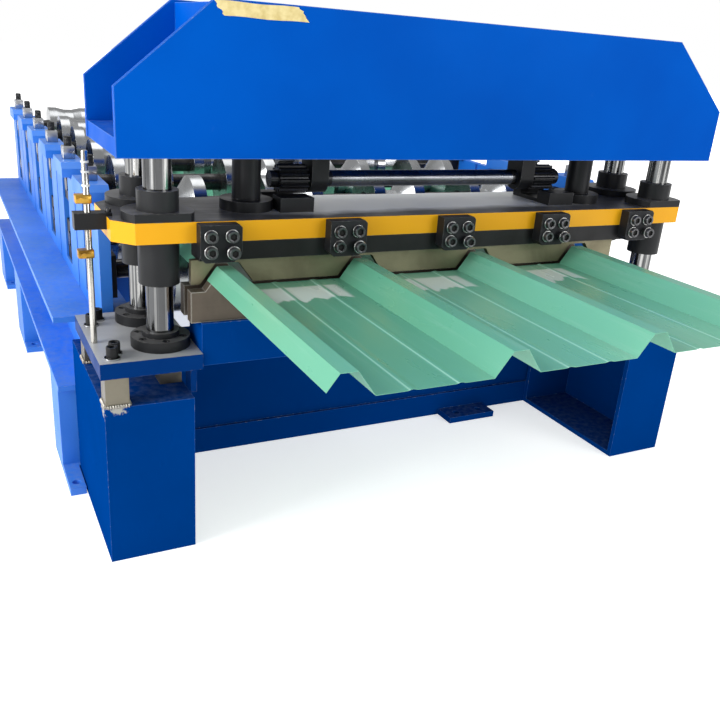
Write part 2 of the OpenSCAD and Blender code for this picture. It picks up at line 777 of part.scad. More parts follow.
// Racks stand on the platen behind the pinions; tooth flanks at 20 degrees
module rack_teeth() {
    m = gear_module;
    p = PI * m;
    low = platen_top + rack_foot_t;
    high = hood_bottom + hood_base_t - 8;
    first = ceil((low - sync_z) / p + 0.5);
    last = floor((high - sync_z) / p - 0.5);
    w_tip = p / 4 - m * tan(20);
    w_root = p / 4 + 1.25 * m * tan(20);
    play = 0.25;
    polygon(concat(
        [[24, low], [24, high], [1.25 * m, high]],
        [for (i = [last : -1 : first]) each [
            [1.25 * m, sync_z + i * p + w_root - play], [-m, sync_z + i * p + w_tip - play],
            [-m, sync_z + i * p - w_tip + play], [1.25 * m, sync_z + i * p - w_root + play]]],
        [[1.25 * m, low]]));
}

module gear_racks() color("gray") both_sides() {
    low = pinion_x - 24;
    high = cylinder_x - rod_flange_d / 2 - 1;
    front = cylinder_y - rod_flange_d / 2;
    rear = rack_y + 40;
    translate([pinion_x - 20, rack_y, 0]) rotate([90, 0, 90]) linear_extrude(40) rack_teeth();
    box([low, front, platen_top], [high, rear, platen_top + rack_plate_t]);
    box([low, front, platen_top + rack_plate_t - eps],
        [high, sync_y - pitch_r - 2 * gear_module, platen_top + rack_block_t]);
    box([low, rack_y + 2 * gear_module, platen_top + rack_plate_t - eps],
        [high, rear, platen_top + rack_foot_t]);
}

// Pinion section: teeth drawn between root and tip circles with straight flanks near the pitch circle,
// turned so that a gap faces the rack tooth at the pitch line
module pinion_section() {
    m = gear_module;
    n = pinion_teeth;
    root = pitch_r - 1.25 * m;
    tip = pitch_r + m;
    half_pitch = 90 / n;
    half_tip = half_pitch * 0.5;
    half_root = half_pitch * 1.36;
    play = 0.5;
    start = 360 / n / 2;
    polygon([for (i = [0 : n - 1]) each
        let (a = start + i * 360 / n)
        [[root * cos(a - half_root), root * sin(a - half_root)],
         [pitch_r * cos(a - half_pitch + play), pitch_r * sin(a - half_pitch + play)],
         [tip * cos(a - half_tip + play), tip * sin(a - half_tip + play)],
         [tip * cos(a + half_tip - play), tip * sin(a + half_tip - play)],
         [pitch_r * cos(a + half_pitch - play), pitch_r * sin(a + half_pitch - play)],
         [root * cos(a + half_root), root * sin(a + half_root)]]]);
}

module sync_shaft() color("darkslategray") translate([0, sync_y, sync_z]) rotate([90, 0, 90]) {
    reach = pinion_x + pinion_w / 2 + 20;
    translate([0, 0, -reach]) cylinder(d = sync_d, h = 2 * reach);
    for (side = [-1, 1]) translate([0, 0, side * pinion_x - pinion_w / 2]) linear_extrude(pinion_w)
        pinion_section();
}

// Bearing housings that hang from the hood's bottom plate beside the pinions
module shaft_hangers() color("dimgray") both_sides() difference() {
    x = pinion_x - pinion_w / 2 - 5 - hanger_w;
    r = sync_d / 2 + 13;
    translate([x, sync_y, 0]) rotate([90, 0, 90]) linear_extrude(hanger_w) {
        translate([0, sync_z]) circle(r = r);
        translate([-r, sync_z]) square([2 * r, hood_bottom - sync_z]);
    }
    translate([x - 1, sync_y, sync_z]) rotate([0, 90, 0])
        cylinder(r = sync_d / 2 + bush_clear, h = hanger_w + 2);
}

// Position switches: a rod beside the platen carries them, and the platen's bracket runs along it

module switch_rod() color("silver") {
    translate([rod_x, rod_y, base_top]) cylinder(r = switch_rod_r, h = switch_rod_h);
    for (z = [platen_bottom - lower_switch_drop, platen_top + upper_switch_rise])
        box([rod_x - 24, rod_y - 11, z], [rod_x + 9, rod_y + 11, z + switch_h]);
}

module switch_bracket() color("black") difference() {
    low = platen_top + 7 - bracket_h;
    union() {
        box([rod_x - 29, rod_y - 15, low], [-platen_half_w, rod_y + 15, low + bracket_h]);
        box([-platen_half_w - 1, rod_y - 15, platen_top], [-platen_half_w + 12, rod_y + 15, low + bracket_h]);
    }
    translate([rod_x, rod_y, low - 1]) cylinder(r = switch_rod_r + 1, h = bracket_h + 2);
}

left_bed_beam();
right_bed_beam();
front_cross_beam();
bed_cross_ties();
left_bed_feet();
right_bed_feet();
left_leg();
right_leg();
packing_blocks();
left_base_plate();
right_base_plate();
guide_posts();
post_flanges();
hood_front_plate();
hood_rear_plate();
hood_bottom_plate();
hood_ribs();
cylinders();
shaft_hangers();
die_beam();
lower_blade_front();
lower_blade_rear();
formed_panel();
strip_in_rolls();
left_stands();
right_stands();
bearing_blocks();
stand_caps();
adjusting_screws();
switch_rod();
platen();
guide_bushes();
blade_bar();
blade_clamps();
clamp_screws();
upper_blade();
cylinder_rods();
gear_racks();
switch_bracket();
sync_shaft();
for (k = [1 : stations]) {
    top_roll(k - 1);
    bottom_roll(k - 1);
}
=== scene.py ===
"""Looks of a roll forming machine: the cut-off shear at the exit end and six forming stations behind it.

Everything is in metres in the machine's own frame: +X to the right seen from the exit end, +Y upstream,
+Z up, with the origin on the floor under the bed's front cross beam. Sizes that a CAD piece already has are
read from the frame; a class keeps only the sizes of what it adds.
"""

import logging
import math
from dataclasses import dataclass, field
from enum import Enum
from typing import ClassVar

import bmesh
import bpy
import numpy as np
from mathutils import Matrix, Vector
from numpy.typing import ArrayLike


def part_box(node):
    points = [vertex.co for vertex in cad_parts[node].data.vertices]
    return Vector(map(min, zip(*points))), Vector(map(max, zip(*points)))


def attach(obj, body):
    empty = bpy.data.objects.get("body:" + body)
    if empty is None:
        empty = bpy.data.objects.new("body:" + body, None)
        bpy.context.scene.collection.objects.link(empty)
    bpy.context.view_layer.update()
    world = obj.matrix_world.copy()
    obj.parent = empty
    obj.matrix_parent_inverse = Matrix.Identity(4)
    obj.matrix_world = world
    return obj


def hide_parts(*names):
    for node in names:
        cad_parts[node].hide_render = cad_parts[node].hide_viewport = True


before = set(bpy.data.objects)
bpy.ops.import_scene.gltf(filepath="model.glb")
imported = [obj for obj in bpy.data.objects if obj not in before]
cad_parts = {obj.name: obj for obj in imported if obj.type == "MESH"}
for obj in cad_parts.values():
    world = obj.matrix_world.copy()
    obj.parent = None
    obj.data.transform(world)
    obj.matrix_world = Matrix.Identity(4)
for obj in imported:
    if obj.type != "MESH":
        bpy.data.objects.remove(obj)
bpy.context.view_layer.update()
LOG = logging.getLogger("roll_former")
SEED = 20261201
NOISE_LOW, NOISE_HIGH = 0.3, 0.7
BEVEL_SAMPLES = 4
BEYOND_ALL = 9.0
STATION_PITCH = 0.355
FIRST_STATION = 0.039
STATIONS = 6
RIB_PITCH = 0.333
FIRST_RIB = -0.583
Colour = tuple[float, float, float]
Point = tuple[float, float, float]


def linear(red: int, green: int, blue: int) -> Colour:
    """Turns a display colour from 0 to 255 into linear light: c / 12.92 below 0.04, else ((c + 0.055) / 1.055) ^ 2.4.

    Args:
        red, green, blue: the display colour's parts.

    Returns:
        The three linear parts, from 0 to 1.
    """
    parts = [v / 255 for v in (red, green, blue)]
    return tuple(v / 12.92 if v <= 0.04045 else ((v + 0.055) / 1.055) ** 2.4 for v in parts)


class Axis(Enum):
    """A main direction of the machine, with the numbers of its two cross directions."""

    X = (0, 1, 2)
    Y = (1, 2, 0)
    Z = (2, 0, 1)


class Body(Enum):
    """The moving bodies that pieces ride on."""

    FRAME = "frame"
    PLATEN = "platen"


# Surfaces


@dataclass
class Surface:
    """A mesh kept as whole arrays: points (n, 3) and faces of four points (m, 4)."""

    points: np.ndarray
    quads: np.ndarray

    @staticmethod
    def grid(points: np.ndarray, wrap_u: bool = False, wrap_v: bool = False) -> "Surface":
        """Joins a grid of points P(u, v) into faces (u, v), (u + 1, v), (u + 1, v + 1), (u, v + 1).

        Args:
            points: array (nu, nv, 3).
            wrap_u: whether the last row meets the first.
            wrap_v: whether the last column meets the first.

        Returns:
            The surface.
        """
        nu, nv = points.shape[:2]
        index = np.arange(nu * nv).reshape(nu, nv)
        if wrap_u:
            index = np.vstack([index, index[:1]])
        if wrap_v:
            index = np.hstack([index, index[:, :1]])
        a, b, c, d = index[:-1, :-1], index[1:, :-1], index[1:, 1:], index[:-1, 1:]
        quads = np.stack([a, b, c, d], axis=-1).reshape(-1, 4)
        return Surface(points.reshape(-1, 3), quads)

    @staticmethod
    def joined(parts: list["Surface"]) -> "Surface":
        """Puts several surfaces into one, each one's face numbers raised by the points before it."""
        starts = np.cumsum([0] + [len(p.points) for p in parts[:-1]])
        return Surface(np.concatenate([p.points for p in parts]),
                       np.concatenate([p.quads + s for p, s in zip(parts, starts)]))

    def moved(self, x: float = 0.0, y: float = 0.0, z: float = 0.0) -> "Surface":
        """The surface moved by an offset."""
        return Surface(self.points + np.array([x, y, z]), self.quads)

    def turned(self, angle: float, axis: Axis) -> "Surface":
        """The surface turned about a main axis through the origin by an angle in radians."""
        turn = np.array(Matrix.Rotation(angle, 3, axis.name))
        return Surface(self.points @ turn.T, self.quads)

    def to_front(self) -> "Surface":
        """The surface turned by a quarter about X, so that what pointed up points to the front."""
        return self.turned(math.pi / 2, Axis.X)

    def mirrored(self) -> "Surface":
        """The surface mirrored in X = 0, with its faces turned over so that they still point outwards."""
        return Surface(self.points * np.array([-1.0, 1.0, 1.0]), self.quads[:, ::-1])

    def at(self, places: np.ndarray) -> "Surface":
        """Copies of the surface at each row of an array of places (k, 3), as one mesh.

        Args:
            places: where the copies' own origins go.

        Returns:
            The joined surface: point i of copy j is point i plus place j.
        """
        places = np.asarray(places, dtype=float).reshape(-1, 3)
        count = len(self.points)
        points = (self.points[None] + places[:, None]).reshape(-1, 3)
        quads = (self.quads[None] + count * np.arange(len(places))[:, None, None]).reshape(-1, 4)
        return Surface(points, quads)


def revolved(profile: ArrayLike, turns: int = 32, corners: int = 0) -> Surface:
    """A profile (radius, height) turned about Z: P(u, v) = (r cos u, r sin u, h).

    Args:
        profile: array (n, 2) of radius and height, from pole to pole for a closed solid; a third column, where
            there is one, says how far the ring is a polygon: 1 keeps the radius as the distance to its flats.
        turns: points around.
        corners: corners of that polygon, such as 6 for a hexagon.

    Returns:
        The surface, wrapped around.
    """
    profile = np.asarray(profile, dtype=float)
    angle = np.linspace(0, 2 * math.pi, turns, endpoint=False)
    radius = np.repeat(profile[:, :1], turns, axis=1)
    if corners and profile.shape[1] > 2:
        step = 2 * math.pi / corners
        polygon = 1 / np.cos((angle + step / 2) % step - step / 2)
        radius = radius * (1 + profile[:, 2:3] * (polygon[None] - 1))
    points = np.stack([radius * np.cos(angle), radius * np.sin(angle),
                       np.repeat(profile[:, 1:2], turns, axis=1)], axis=-1)
    return Surface.grid(points, wrap_v=True)


def ring(inner: float, rim: list[tuple[float, float]], turns: int) -> Surface:
    """A washer or a band about Z: its rim's profile turned, and joined to a straight bore.

    Args:
        inner: radius of the bore.
        rim: radius and height of the outer points, from the lower face to the upper one.
        turns: points around.

    Returns:
        A closed surface.
    """
    low, high = rim[0][1], rim[-1][1]
    return revolved([(inner, low), *rim, (inner, high), (inner, low)], turns)


def prism(outline: ArrayLike, low: float, high: float, bevel: float = 0.0) -> Surface:
    """An outline (x, y) raised along Z, with its two rims drawn in by a bevel.

    Each ring is the outline pulled towards its centre c: p' = c + (p - c) (1 - b / r), with r its distance.

    Args:
        outline: array (n, 2), round the shape once.
        low, high: its two heights.
        bevel: size of the rim's bevel.

    Returns:
        A closed surface with a point at the middle of each end.
    """
    outline = np.asarray(outline, dtype=float)
    centre = outline.mean(axis=0)
    reach = outline - centre
    length = np.linalg.norm(reach, axis=1, keepdims=True)
    drawn = centre + reach * (1 - bevel / length)
    rings = [(outline * 0 + centre, low), (drawn, low), (outline, low + bevel), (outline, high - bevel),
             (drawn, high), (outline * 0 + centre, high)]
    points = np.stack([np.column_stack([r, np.full(len(outline), z)]) for r, z in rings])
    return Surface.grid(points, wrap_v=True)


def block(low: Point, high: Point, bevel: float = 0.001) -> Surface:
    """A box between two corners, with its upright edges cut by a bevel and its rims drawn in by it."""
    x0, y0, x1, y1 = low[0], low[1], high[0], high[1]
    outline = [[x0 + bevel, y0], [x1 - bevel, y0], [x1, y0 + bevel], [x1, y1 - bevel],
               [x1 - bevel, y1], [x0 + bevel, y1], [x0, y1 - bevel], [x0, y0 + bevel]]
    return prism(outline, low[2], high[2], bevel)


def swept(path: np.ndarray, radius: float | np.ndarray, sides: int = 12) -> Surface:
    """A round section carried along a path: P(u, v) = path(u) + r(u) (cos v n(u) + sin v b(u)).

    The two cross directions are carried along without twist, each made square to the path's new direction.

    Args:
        path: array (n, 3).
        radius: one radius, or one for each point.
        sides: points around.

    Returns:
        A closed tube.
    """
    path = np.asarray(path, dtype=float)
    ahead = np.gradient(path, axis=0)
    ahead /= np.linalg.norm(ahead, axis=1, keepdims=True)
    side = np.cross(ahead[0], [0.0, 0.0, 1.0] if abs(ahead[0][2]) < 0.9 else [1.0, 0.0, 0.0])
    sides_at = []
    for direction in ahead:
        side = side - direction * (side @ direction)
        side = side / np.linalg.norm(side)
        sides_at.append(side)
    n = np.array(sides_at)
    b = np.cross(ahead, n)
    radii = np.broadcast_to(np.asarray(radius, dtype=float), len(path))
    angle = np.linspace(0, 2 * math.pi, sides, endpoint=False)
    ring = np.cos(angle)[None, :, None] * n[:, None] + np.sin(angle)[None, :, None] * b[:, None]
    points = path[:, None] + radii[:, None, None] * ring
    start = np.repeat(path[:1, None], sides, axis=1)
    end = np.repeat(path[-1:, None], sides, axis=1)
    return Surface.grid(np.concatenate([start, points, end]), wrap_v=True)


def bead(start: Point, end: Point, size: float, seed: int) -> Surface:
    """A weld bead: a tube along a line whose radius ripples, r = size (1 + 0.18 sin(2 pi s / pitch) + noise).

    Args:
        start, end: its two ends.
        size: mean radius.
        seed: of its small unevenness.

    Returns:
        A closed tube.
    """
    a, b = np.array(start), np.array(end)
    length = float(np.linalg.norm(b - a))
    pitch = size * 1.1
    count = max(8, min(400, int(length / pitch * 4)))
    s = np.linspace(0, 1, count)
    noise = np.random.default_rng(seed).normal(0, 0.05, count)
    radius = size * (1 + 0.18 * np.sin(2 * math.pi * s * length / pitch) + noise)
    radius[[0, -1]] *= 0.6
    return swept(a + (b - a) * s[:, None], radius, 8)


# Materials


def shader_node(tree: bpy.types.NodeTree, kind: str, **values: object) -> bpy.types.Node:
    """Adds a shader node and sets its inputs.

    Args:
        tree: where it goes.
        kind: its type without the first word, such as Math.
        values: the inputs' values by their names, with _ for a space.

    Returns:
        The node.
    """
    made = tree.nodes.new("ShaderNode" + kind)
    for name, value in values.items():
        made.inputs[name.replace("_", " ")].default_value = value
    return made


def wire(tree: bpy.types.NodeTree, *pairs: tuple[object, object]) -> None:
    """Joins outputs to inputs, pair by pair."""
    for source, target in pairs:
        tree.links.new(source, target)


class Recipe:
    """A material's node tree while it is put together."""

    def __init__(self, name: str) -> None:
        """Starts a material with a Principled shader and Object coordinates."""
        self.material = bpy.data.materials.new(name)
        self.material.use_nodes = True
        self.tree = self.material.node_tree
        self.tree.nodes.clear()
        self.shader = self.node("BsdfPrincipled")
        output = self.node("OutputMaterial")
        self.link(self.shader.outputs[0], output.inputs[0])
        self.where = self.node("TexCoord").outputs["Object"]
        self.height = None

    def node(self, kind: str, **values: object) -> bpy.types.Node:
        """Adds a node to this material and sets its inputs."""
        return shader_node(self.tree, kind, **values)

    def link(self, source: object, target: object) -> None:
        """Joins an output to an input, or sets the input where the source is a plain value."""
        if isinstance(source, (int, float)):
            target.default_value = source
        elif isinstance(source, tuple):
            target.default_value = (*source, 1.0) if len(source) == 3 else source
        else:
            self.tree.links.new(source, target)

    def noise(self, scale: float, detail: float = 4.0, stretch: Point = (1.0, 1.0, 1.0),
              rough: float = 0.55, warp: float = 0.0) -> object:
        """Fractal noise on Object coordinates.

        Args:
            scale: features in each metre.
            detail: octaves.
            stretch: factor on each coordinate; a small one draws the noise out along that axis.
            rough: weight of the finer octaves.
            warp: distortion.

        Returns:
            The noise's value, about 0.3 to 0.7.
        """
        mapping = self.node("Mapping", Scale=stretch)
        self.link(self.where, mapping.inputs["Vector"])
        node = self.node("TexNoise", Scale=scale, Detail=detail, Roughness=rough, Distortion=warp)
        self.link(mapping.outputs[0], node.inputs["Vector"])
        return node.outputs["Fac"]

    def span(self, value: object, low: float, high: float, to_low: float = 0.0, to_high: float = 1.0) -> object:
        """Maps a value from low..high to to_low..to_high, held at both ends."""
        node = self.node("MapRange", From_Min=low, From_Max=high, To_Min=to_low, To_Max=to_high)
        self.link(value, node.inputs["Value"])
        return node.outputs[0]

    def uneven(self, noise: object, low: float, high: float) -> object:
        """Maps a noise from the range that it mostly keeps to, 0.3 to 0.7, to low..high."""
        return self.span(noise, NOISE_LOW, NOISE_HIGH, low, high)

    def math(self, kind: str, a: object, b: object = 0.0) -> object:
        """One arithmetic step, such as ADD or SQRT."""
        node = self.node("Math")
        node.operation = kind
        self.link(a, node.inputs[0])
        self.link(b, node.inputs[1])
        return node.outputs[0]

    def times(self, a: object, b: object) -> object:
        """The product of two values."""
        return self.math("MULTIPLY", a, b)

    def mix(self, share: object, a: object, b: object) -> object:
        """Blends two colours: a where share is 0, b where it is 1."""
        node = self.node("Mix")
        node.data_type = "RGBA"
        self.link(share, node.inputs["Factor"])
        self.link(a, node.inputs["A"])
        self.link(b, node.inputs["B"])
        return node.outputs["Result"]

    def over(self, below: object, colour: object, share: object, most: float) -> object:
        """Lays a colour over another one, by a share from 0 to 1 times the most that it may cover."""
        return self.mix(self.times(share, most), below, colour)

    def part(self, axis: Axis, of_normal: bool = False) -> object:
        """One coordinate of the place, or of the surface's own normal."""
        node = self.node("SeparateXYZ")
        source = self.where
        if of_normal:
            source = self.node("NewGeometry").outputs["True Normal"]
        self.link(source, node.inputs[0])
        return node.outputs["XYZ".index(axis.name)]

    def near(self, place: Point, radius: float, soft: float) -> object:
        """How near a place is on either side of the machine: (radius - |(|x|, y, z) - place|) / soft, from 0 to 1."""
        node = self.node("VectorMath")
        node.operation = "DISTANCE"
        joined = self.node("CombineXYZ")
        for k, axis in enumerate(Axis):
            value = self.part(axis)
            self.link(self.math("ABSOLUTE", value) if k == 0 else value, joined.inputs[k])
        self.link(joined.outputs[0], node.inputs[0])
        node.inputs[1].default_value = place
        return self.span(node.outputs["Value"], radius, radius - soft)

    def edges(self, radius: float = 0.003) -> object:
        """How far a place is on a sharp edge: the face's normal times the normal rounded over a radius, which is
        0.99 just off the edge and 0.80 on it."""
        rounding = self.node("Bevel", Radius=radius)
        rounding.samples = BEVEL_SAMPLES
        dot = self.node("VectorMath")
        dot.operation = "DOT_PRODUCT"
        self.link(rounding.outputs[0], dot.inputs[0])
        self.link(self.node("NewGeometry").outputs["True Normal"], dot.inputs[1])
        return self.span(dot.outputs["Value"], 0.99, 0.80)

    def bump(self, value: object, depth: float) -> None:
        """Adds relief to the normal: depth in metres for a value from 0 to 1."""
        node = self.node("Bump", Distance=depth, Strength=1.0)
        self.link(value, node.inputs["Height"])
        if self.height is not None:
            self.link(self.height, node.inputs["Normal"])
        self.height = node.outputs[0]

    def rounded(self, radius: float) -> None:
        """Rounds every edge in the shading, as a broken edge of that radius catches light."""
        node = self.node("Bevel", Radius=radius)
        node.samples = BEVEL_SAMPLES
        self.height = node.outputs[0]

    def done(self, colour: object, rough: object, metal: object = 0.0, coat: float = 0.0,
             coat_rough: float = 0.1, specular: float = 0.5) -> bpy.types.Material:
        """Sets the shader's own sockets and returns the material."""
        self.link(colour, self.shader.inputs["Base Color"])
        self.link(rough, self.shader.inputs["Roughness"])
        self.link(metal, self.shader.inputs["Metallic"])
        self.shader.inputs["Coat Weight"].default_value = coat
        self.shader.inputs["Coat Roughness"].default_value = coat_rough
        self.shader.inputs["Specular IOR Level"].default_value = specular
        if self.height is not None:
            self.link(self.height, self.shader.inputs["Normal"])
        return self.material


@dataclass(frozen=True)
class Enamel:
    """Sprayed machine enamel: faint clouding, orange peel, dust on top faces, a painted highlight along the edges,
    wear at the edges, scraped spots.
    """

    name: str
    colour: Colour
    pale: Colour
    rough: float = 0.36
    wear: float = 0.6
    dust: float = 0.16
    gloss: float = 0.22
    # colour of the painted highlight laid along every sharp edge
    edge_highlight: Colour = linear(96, 150, 250)
    scuffed: float = 0.12
    scraped: tuple[tuple[Point, float], ...] = ()

    def make(self) -> bpy.types.Material:
        """Builds the material."""
        r = Recipe(self.name)
        clouds = r.span(r.noise(2.5, 3), 0.35, 0.65)
        body = r.over(self.colour, self.pale, clouds, 0.5)
        top = r.span(r.part(Axis.Z, True), 0.6, 0.95)
        dirt = r.times(r.times(top, r.span(r.noise(60, 6), 0.36, 0.74)), self.dust)
        body = r.mix(dirt, body, linear(150, 160, 176))
        edge = r.edges()
        chips = r.times(edge, r.span(r.noise(90, 5), 0.56, 0.66))
        # painted highlight: a quarter of the highlight colour on every sharp edge, where a rounded edge catches light
        body = r.over(body, self.edge_highlight, edge, 0.25)
        body = r.over(body, linear(170, 176, 186), chips, self.wear)
        scuff = r.span(r.noise(30, 8, (1, 0.5, 0.35), 0.7), 0.66, 0.8)
        body = r.over(body, linear(130, 165, 225), scuff, self.scuffed)
        for spot, radius in self.scraped:
            rag = r.uneven(r.noise(70, 6, rough=0.7), -0.8, 0.15)
            worn = r.math("ADD", r.near(spot, radius, radius * 0.8), rag)
            body = r.mix(r.span(worn, 0.25, 0.45), body, linear(168, 166, 160))
        rough = r.uneven(r.noise(9, 6), self.rough - 0.06, self.rough + 0.10)
        r.rounded(0.0016)
        r.bump(r.noise(420, 2), 0.00004)
        r.bump(r.noise(5, 2), 0.00015)
        return r.done(body, rough, specular=self.gloss)


@dataclass(frozen=True)
class TwoTone:
    """A plate ground bare on its flat faces and painted on its edges, with a painted highlight on its top where one is
    given.
    """

    name: str
    edge: Colour
    edge_pale: Colour
    steel: Colour = linear(168, 168, 164)
    steel_dark: Colour = linear(104, 104, 102)
    metal: float = 0.6
    gloss: float = 0.3
    # where the painted highlight lies: its front edge in Y and its half width in X
    painted_highlight: tuple[float, float] | None = None

    def make(self) -> bpy.types.Material:
        """Builds the material: paint where the normal lies flat, steel where it points up or down, and a near-white
        painted highlight on the steel where one is given.
        """
        r = Recipe(self.name)
        on_face = r.span(r.math("ABSOLUTE", r.part(Axis.Z, True)), 0.35, 0.65)
        grain = r.noise(60, 6, (0.05, 1.0, 1.0), 0.65)
        stain = r.span(r.noise(2.6, 5, warp=0.6), 0.40, 0.66)
        steel = r.mix(stain, self.steel, self.steel_dark)
        steel = r.mix(r.span(grain, 0.5, 0.8, 0.0, 0.3), steel, linear(172, 172, 166))
        # painted highlight: a near-white patch on the bare steel, behind Y = front and towards the middle, with wobbly
        # borders
        if self.painted_highlight:
            front, half = self.painted_highlight
            wobble = r.uneven(r.noise(5, 4, (1, 1, 1), 0.5), -0.02, 0.02)
            back = r.span(r.math("ADD", r.part(Axis.Y), wobble), front - 0.012, front + 0.03)
            middle = r.span(r.math("ABSOLUTE", r.math("ADD", r.part(Axis.X), wobble)), half + 0.16, half - 0.04)
            steel = r.mix(r.times(back, middle), steel, linear(248, 250, 246))
        edge = r.edges()
        paint = r.mix(r.span(r.noise(3, 3), 0.35, 0.65, 0.0, 0.7), self.edge, self.edge_pale)
        chips = r.times(edge, r.span(r.noise(110, 5), 0.50, 0.62))
        paint = r.over(paint, linear(120, 118, 112), chips, 0.6)
        rough = r.uneven(r.noise(11, 6), 0.30, 0.46)
        r.rounded(0.0014)
        r.bump(grain, 0.00005)
        return r.done(r.mix(on_face, paint, steel), rough, r.times(on_face, self.metal), specular=self.gloss)


@dataclass(frozen=True)
class BlackOxide:
    """Blackened machine steel with an oily sheen, a painted highlight along its edges, and bright worn edges."""

    name: str
    colour: Colour = linear(25, 26, 28)
    rough: float = 0.38
    metal: float = 0.35
    wear: float = 0.5
    bare_above: float = BEYOND_ALL

    def make(self) -> bpy.types.Material:
        """Builds the material."""
        r = Recipe(self.name)
        patch = r.span(r.noise(7, 4), 0.38, 0.68)
        body = r.over(self.colour, linear(46, 47, 50), patch, 0.4)
        body = r.mix(r.span(r.noise(4, 3), 0.55, 0.75, 0.0, 0.25), body, linear(52, 48, 43))
        edge = r.edges(0.0022)
        # painted highlight: a light grey laid evenly on every sharp edge, where a rounded edge catches light
        body = r.over(body, linear(132, 134, 138), edge, 0.22)
        worn = r.times(edge, r.span(r.noise(130, 4), 0.52, 0.64))
        body = r.over(body, linear(176, 176, 174), worn, self.wear)
        bare = r.span(r.part(Axis.Z), self.bare_above, self.bare_above + 0.002)
        body = r.mix(bare, body, linear(136, 138, 136))
        rough = r.uneven(r.noise(22, 6), self.rough - 0.06, self.rough + 0.12)
        r.rounded(0.0010)
        r.bump(r.noise(300, 3), 0.00002)
        return r.done(body, rough, self.metal, specular=0.3)


@dataclass(frozen=True)
class Steel:
    """Bare or plated steel with fine machining marks along one direction."""

    name: str
    colour: Colour
    stain: Colour
    rough: float
    metal: float = 1.0
    grain: Point = (1.0, 1.0, 0.05)
    stains: float = 0.5
    streak: float = 0.0
    ends: float = BEYOND_ALL
    worn: float = 0.0

    def make(self) -> bpy.types.Material:
        """Builds the material."""
        r = Recipe(self.name)
        r.rounded(0.0008)
        marks = r.noise(160, 5, self.grain, 0.6)
        body = r.mix(r.span(r.noise(7, 5, warp=0.4), 0.42, 0.7, 0.0, self.stains), self.colour, self.stain)
        if self.worn:
            body = r.over(body, linear(198, 196, 188), r.edges(0.0045), self.worn)
        if self.streak:
            round_it = r.span(r.noise(86, 2, (1.0, 1.0, 0.0), 0.5), 0.40, 0.53, 0.0, self.streak)
            body = r.mix(round_it, body, linear(52, 54, 58))
        beyond = r.span(r.math("ABSOLUTE", r.part(Axis.X)), self.ends, self.ends + 0.002)
        body = r.mix(beyond, body, linear(34, 35, 38))
        r.bump(marks, 0.00003)
        rough = r.math("ADD", r.uneven(marks, -0.05, 0.06),
                       r.uneven(r.noise(13, 4), self.rough - 0.04, self.rough + 0.08))
        return r.done(body, rough, r.span(beyond, 0.0, 1.0, self.metal, self.metal * 0.4))


@dataclass(frozen=True)
class RollMetal:
    """Plated forming rolls on a dark shaft; the distance from the shaft's axis tells them apart."""

    name: str
    axis_z: float
    first_y: float
    pitch: float
    shaft_r: float = 0.029

    def make(self) -> bpy.types.Material:
        """Builds the material: distance = sqrt(dy^2 + dz^2), dy measured from the nearest station."""
        r = Recipe(self.name)
        r.rounded(0.0012)
        shifted = r.math("ADD", r.part(Axis.Y), self.pitch / 2 - self.first_y)
        dy = r.math("SUBTRACT", r.math("FLOORED_MODULO", shifted, self.pitch), self.pitch / 2)
        dz = r.math("SUBTRACT", r.part(Axis.Z), self.axis_z)
        away = r.math("SQRT", r.math("ADD", r.times(dy, dy), r.times(dz, dz)))
        plated = r.span(away, self.shaft_r, self.shaft_r + 0.002)
        dark = r.mix(r.span(r.noise(18, 5), 0.4, 0.65), linear(30, 31, 34), linear(62, 60, 58))
        bright = r.mix(r.span(r.noise(6, 4, warp=0.5), 0.45, 0.72, 0.0, 0.6), linear(176, 178, 180),
                       linear(104, 106, 104))
        turning = r.noise(260, 4, (1.0, 0.06, 0.06), 0.6)
        r.bump(turning, 0.00003)
        rough = r.uneven(r.noise(15, 5), 0.16, 0.34)
        return r.done(r.mix(plated, dark, bright), rough, r.span(plated, 0, 1, 0.5, 1.0))


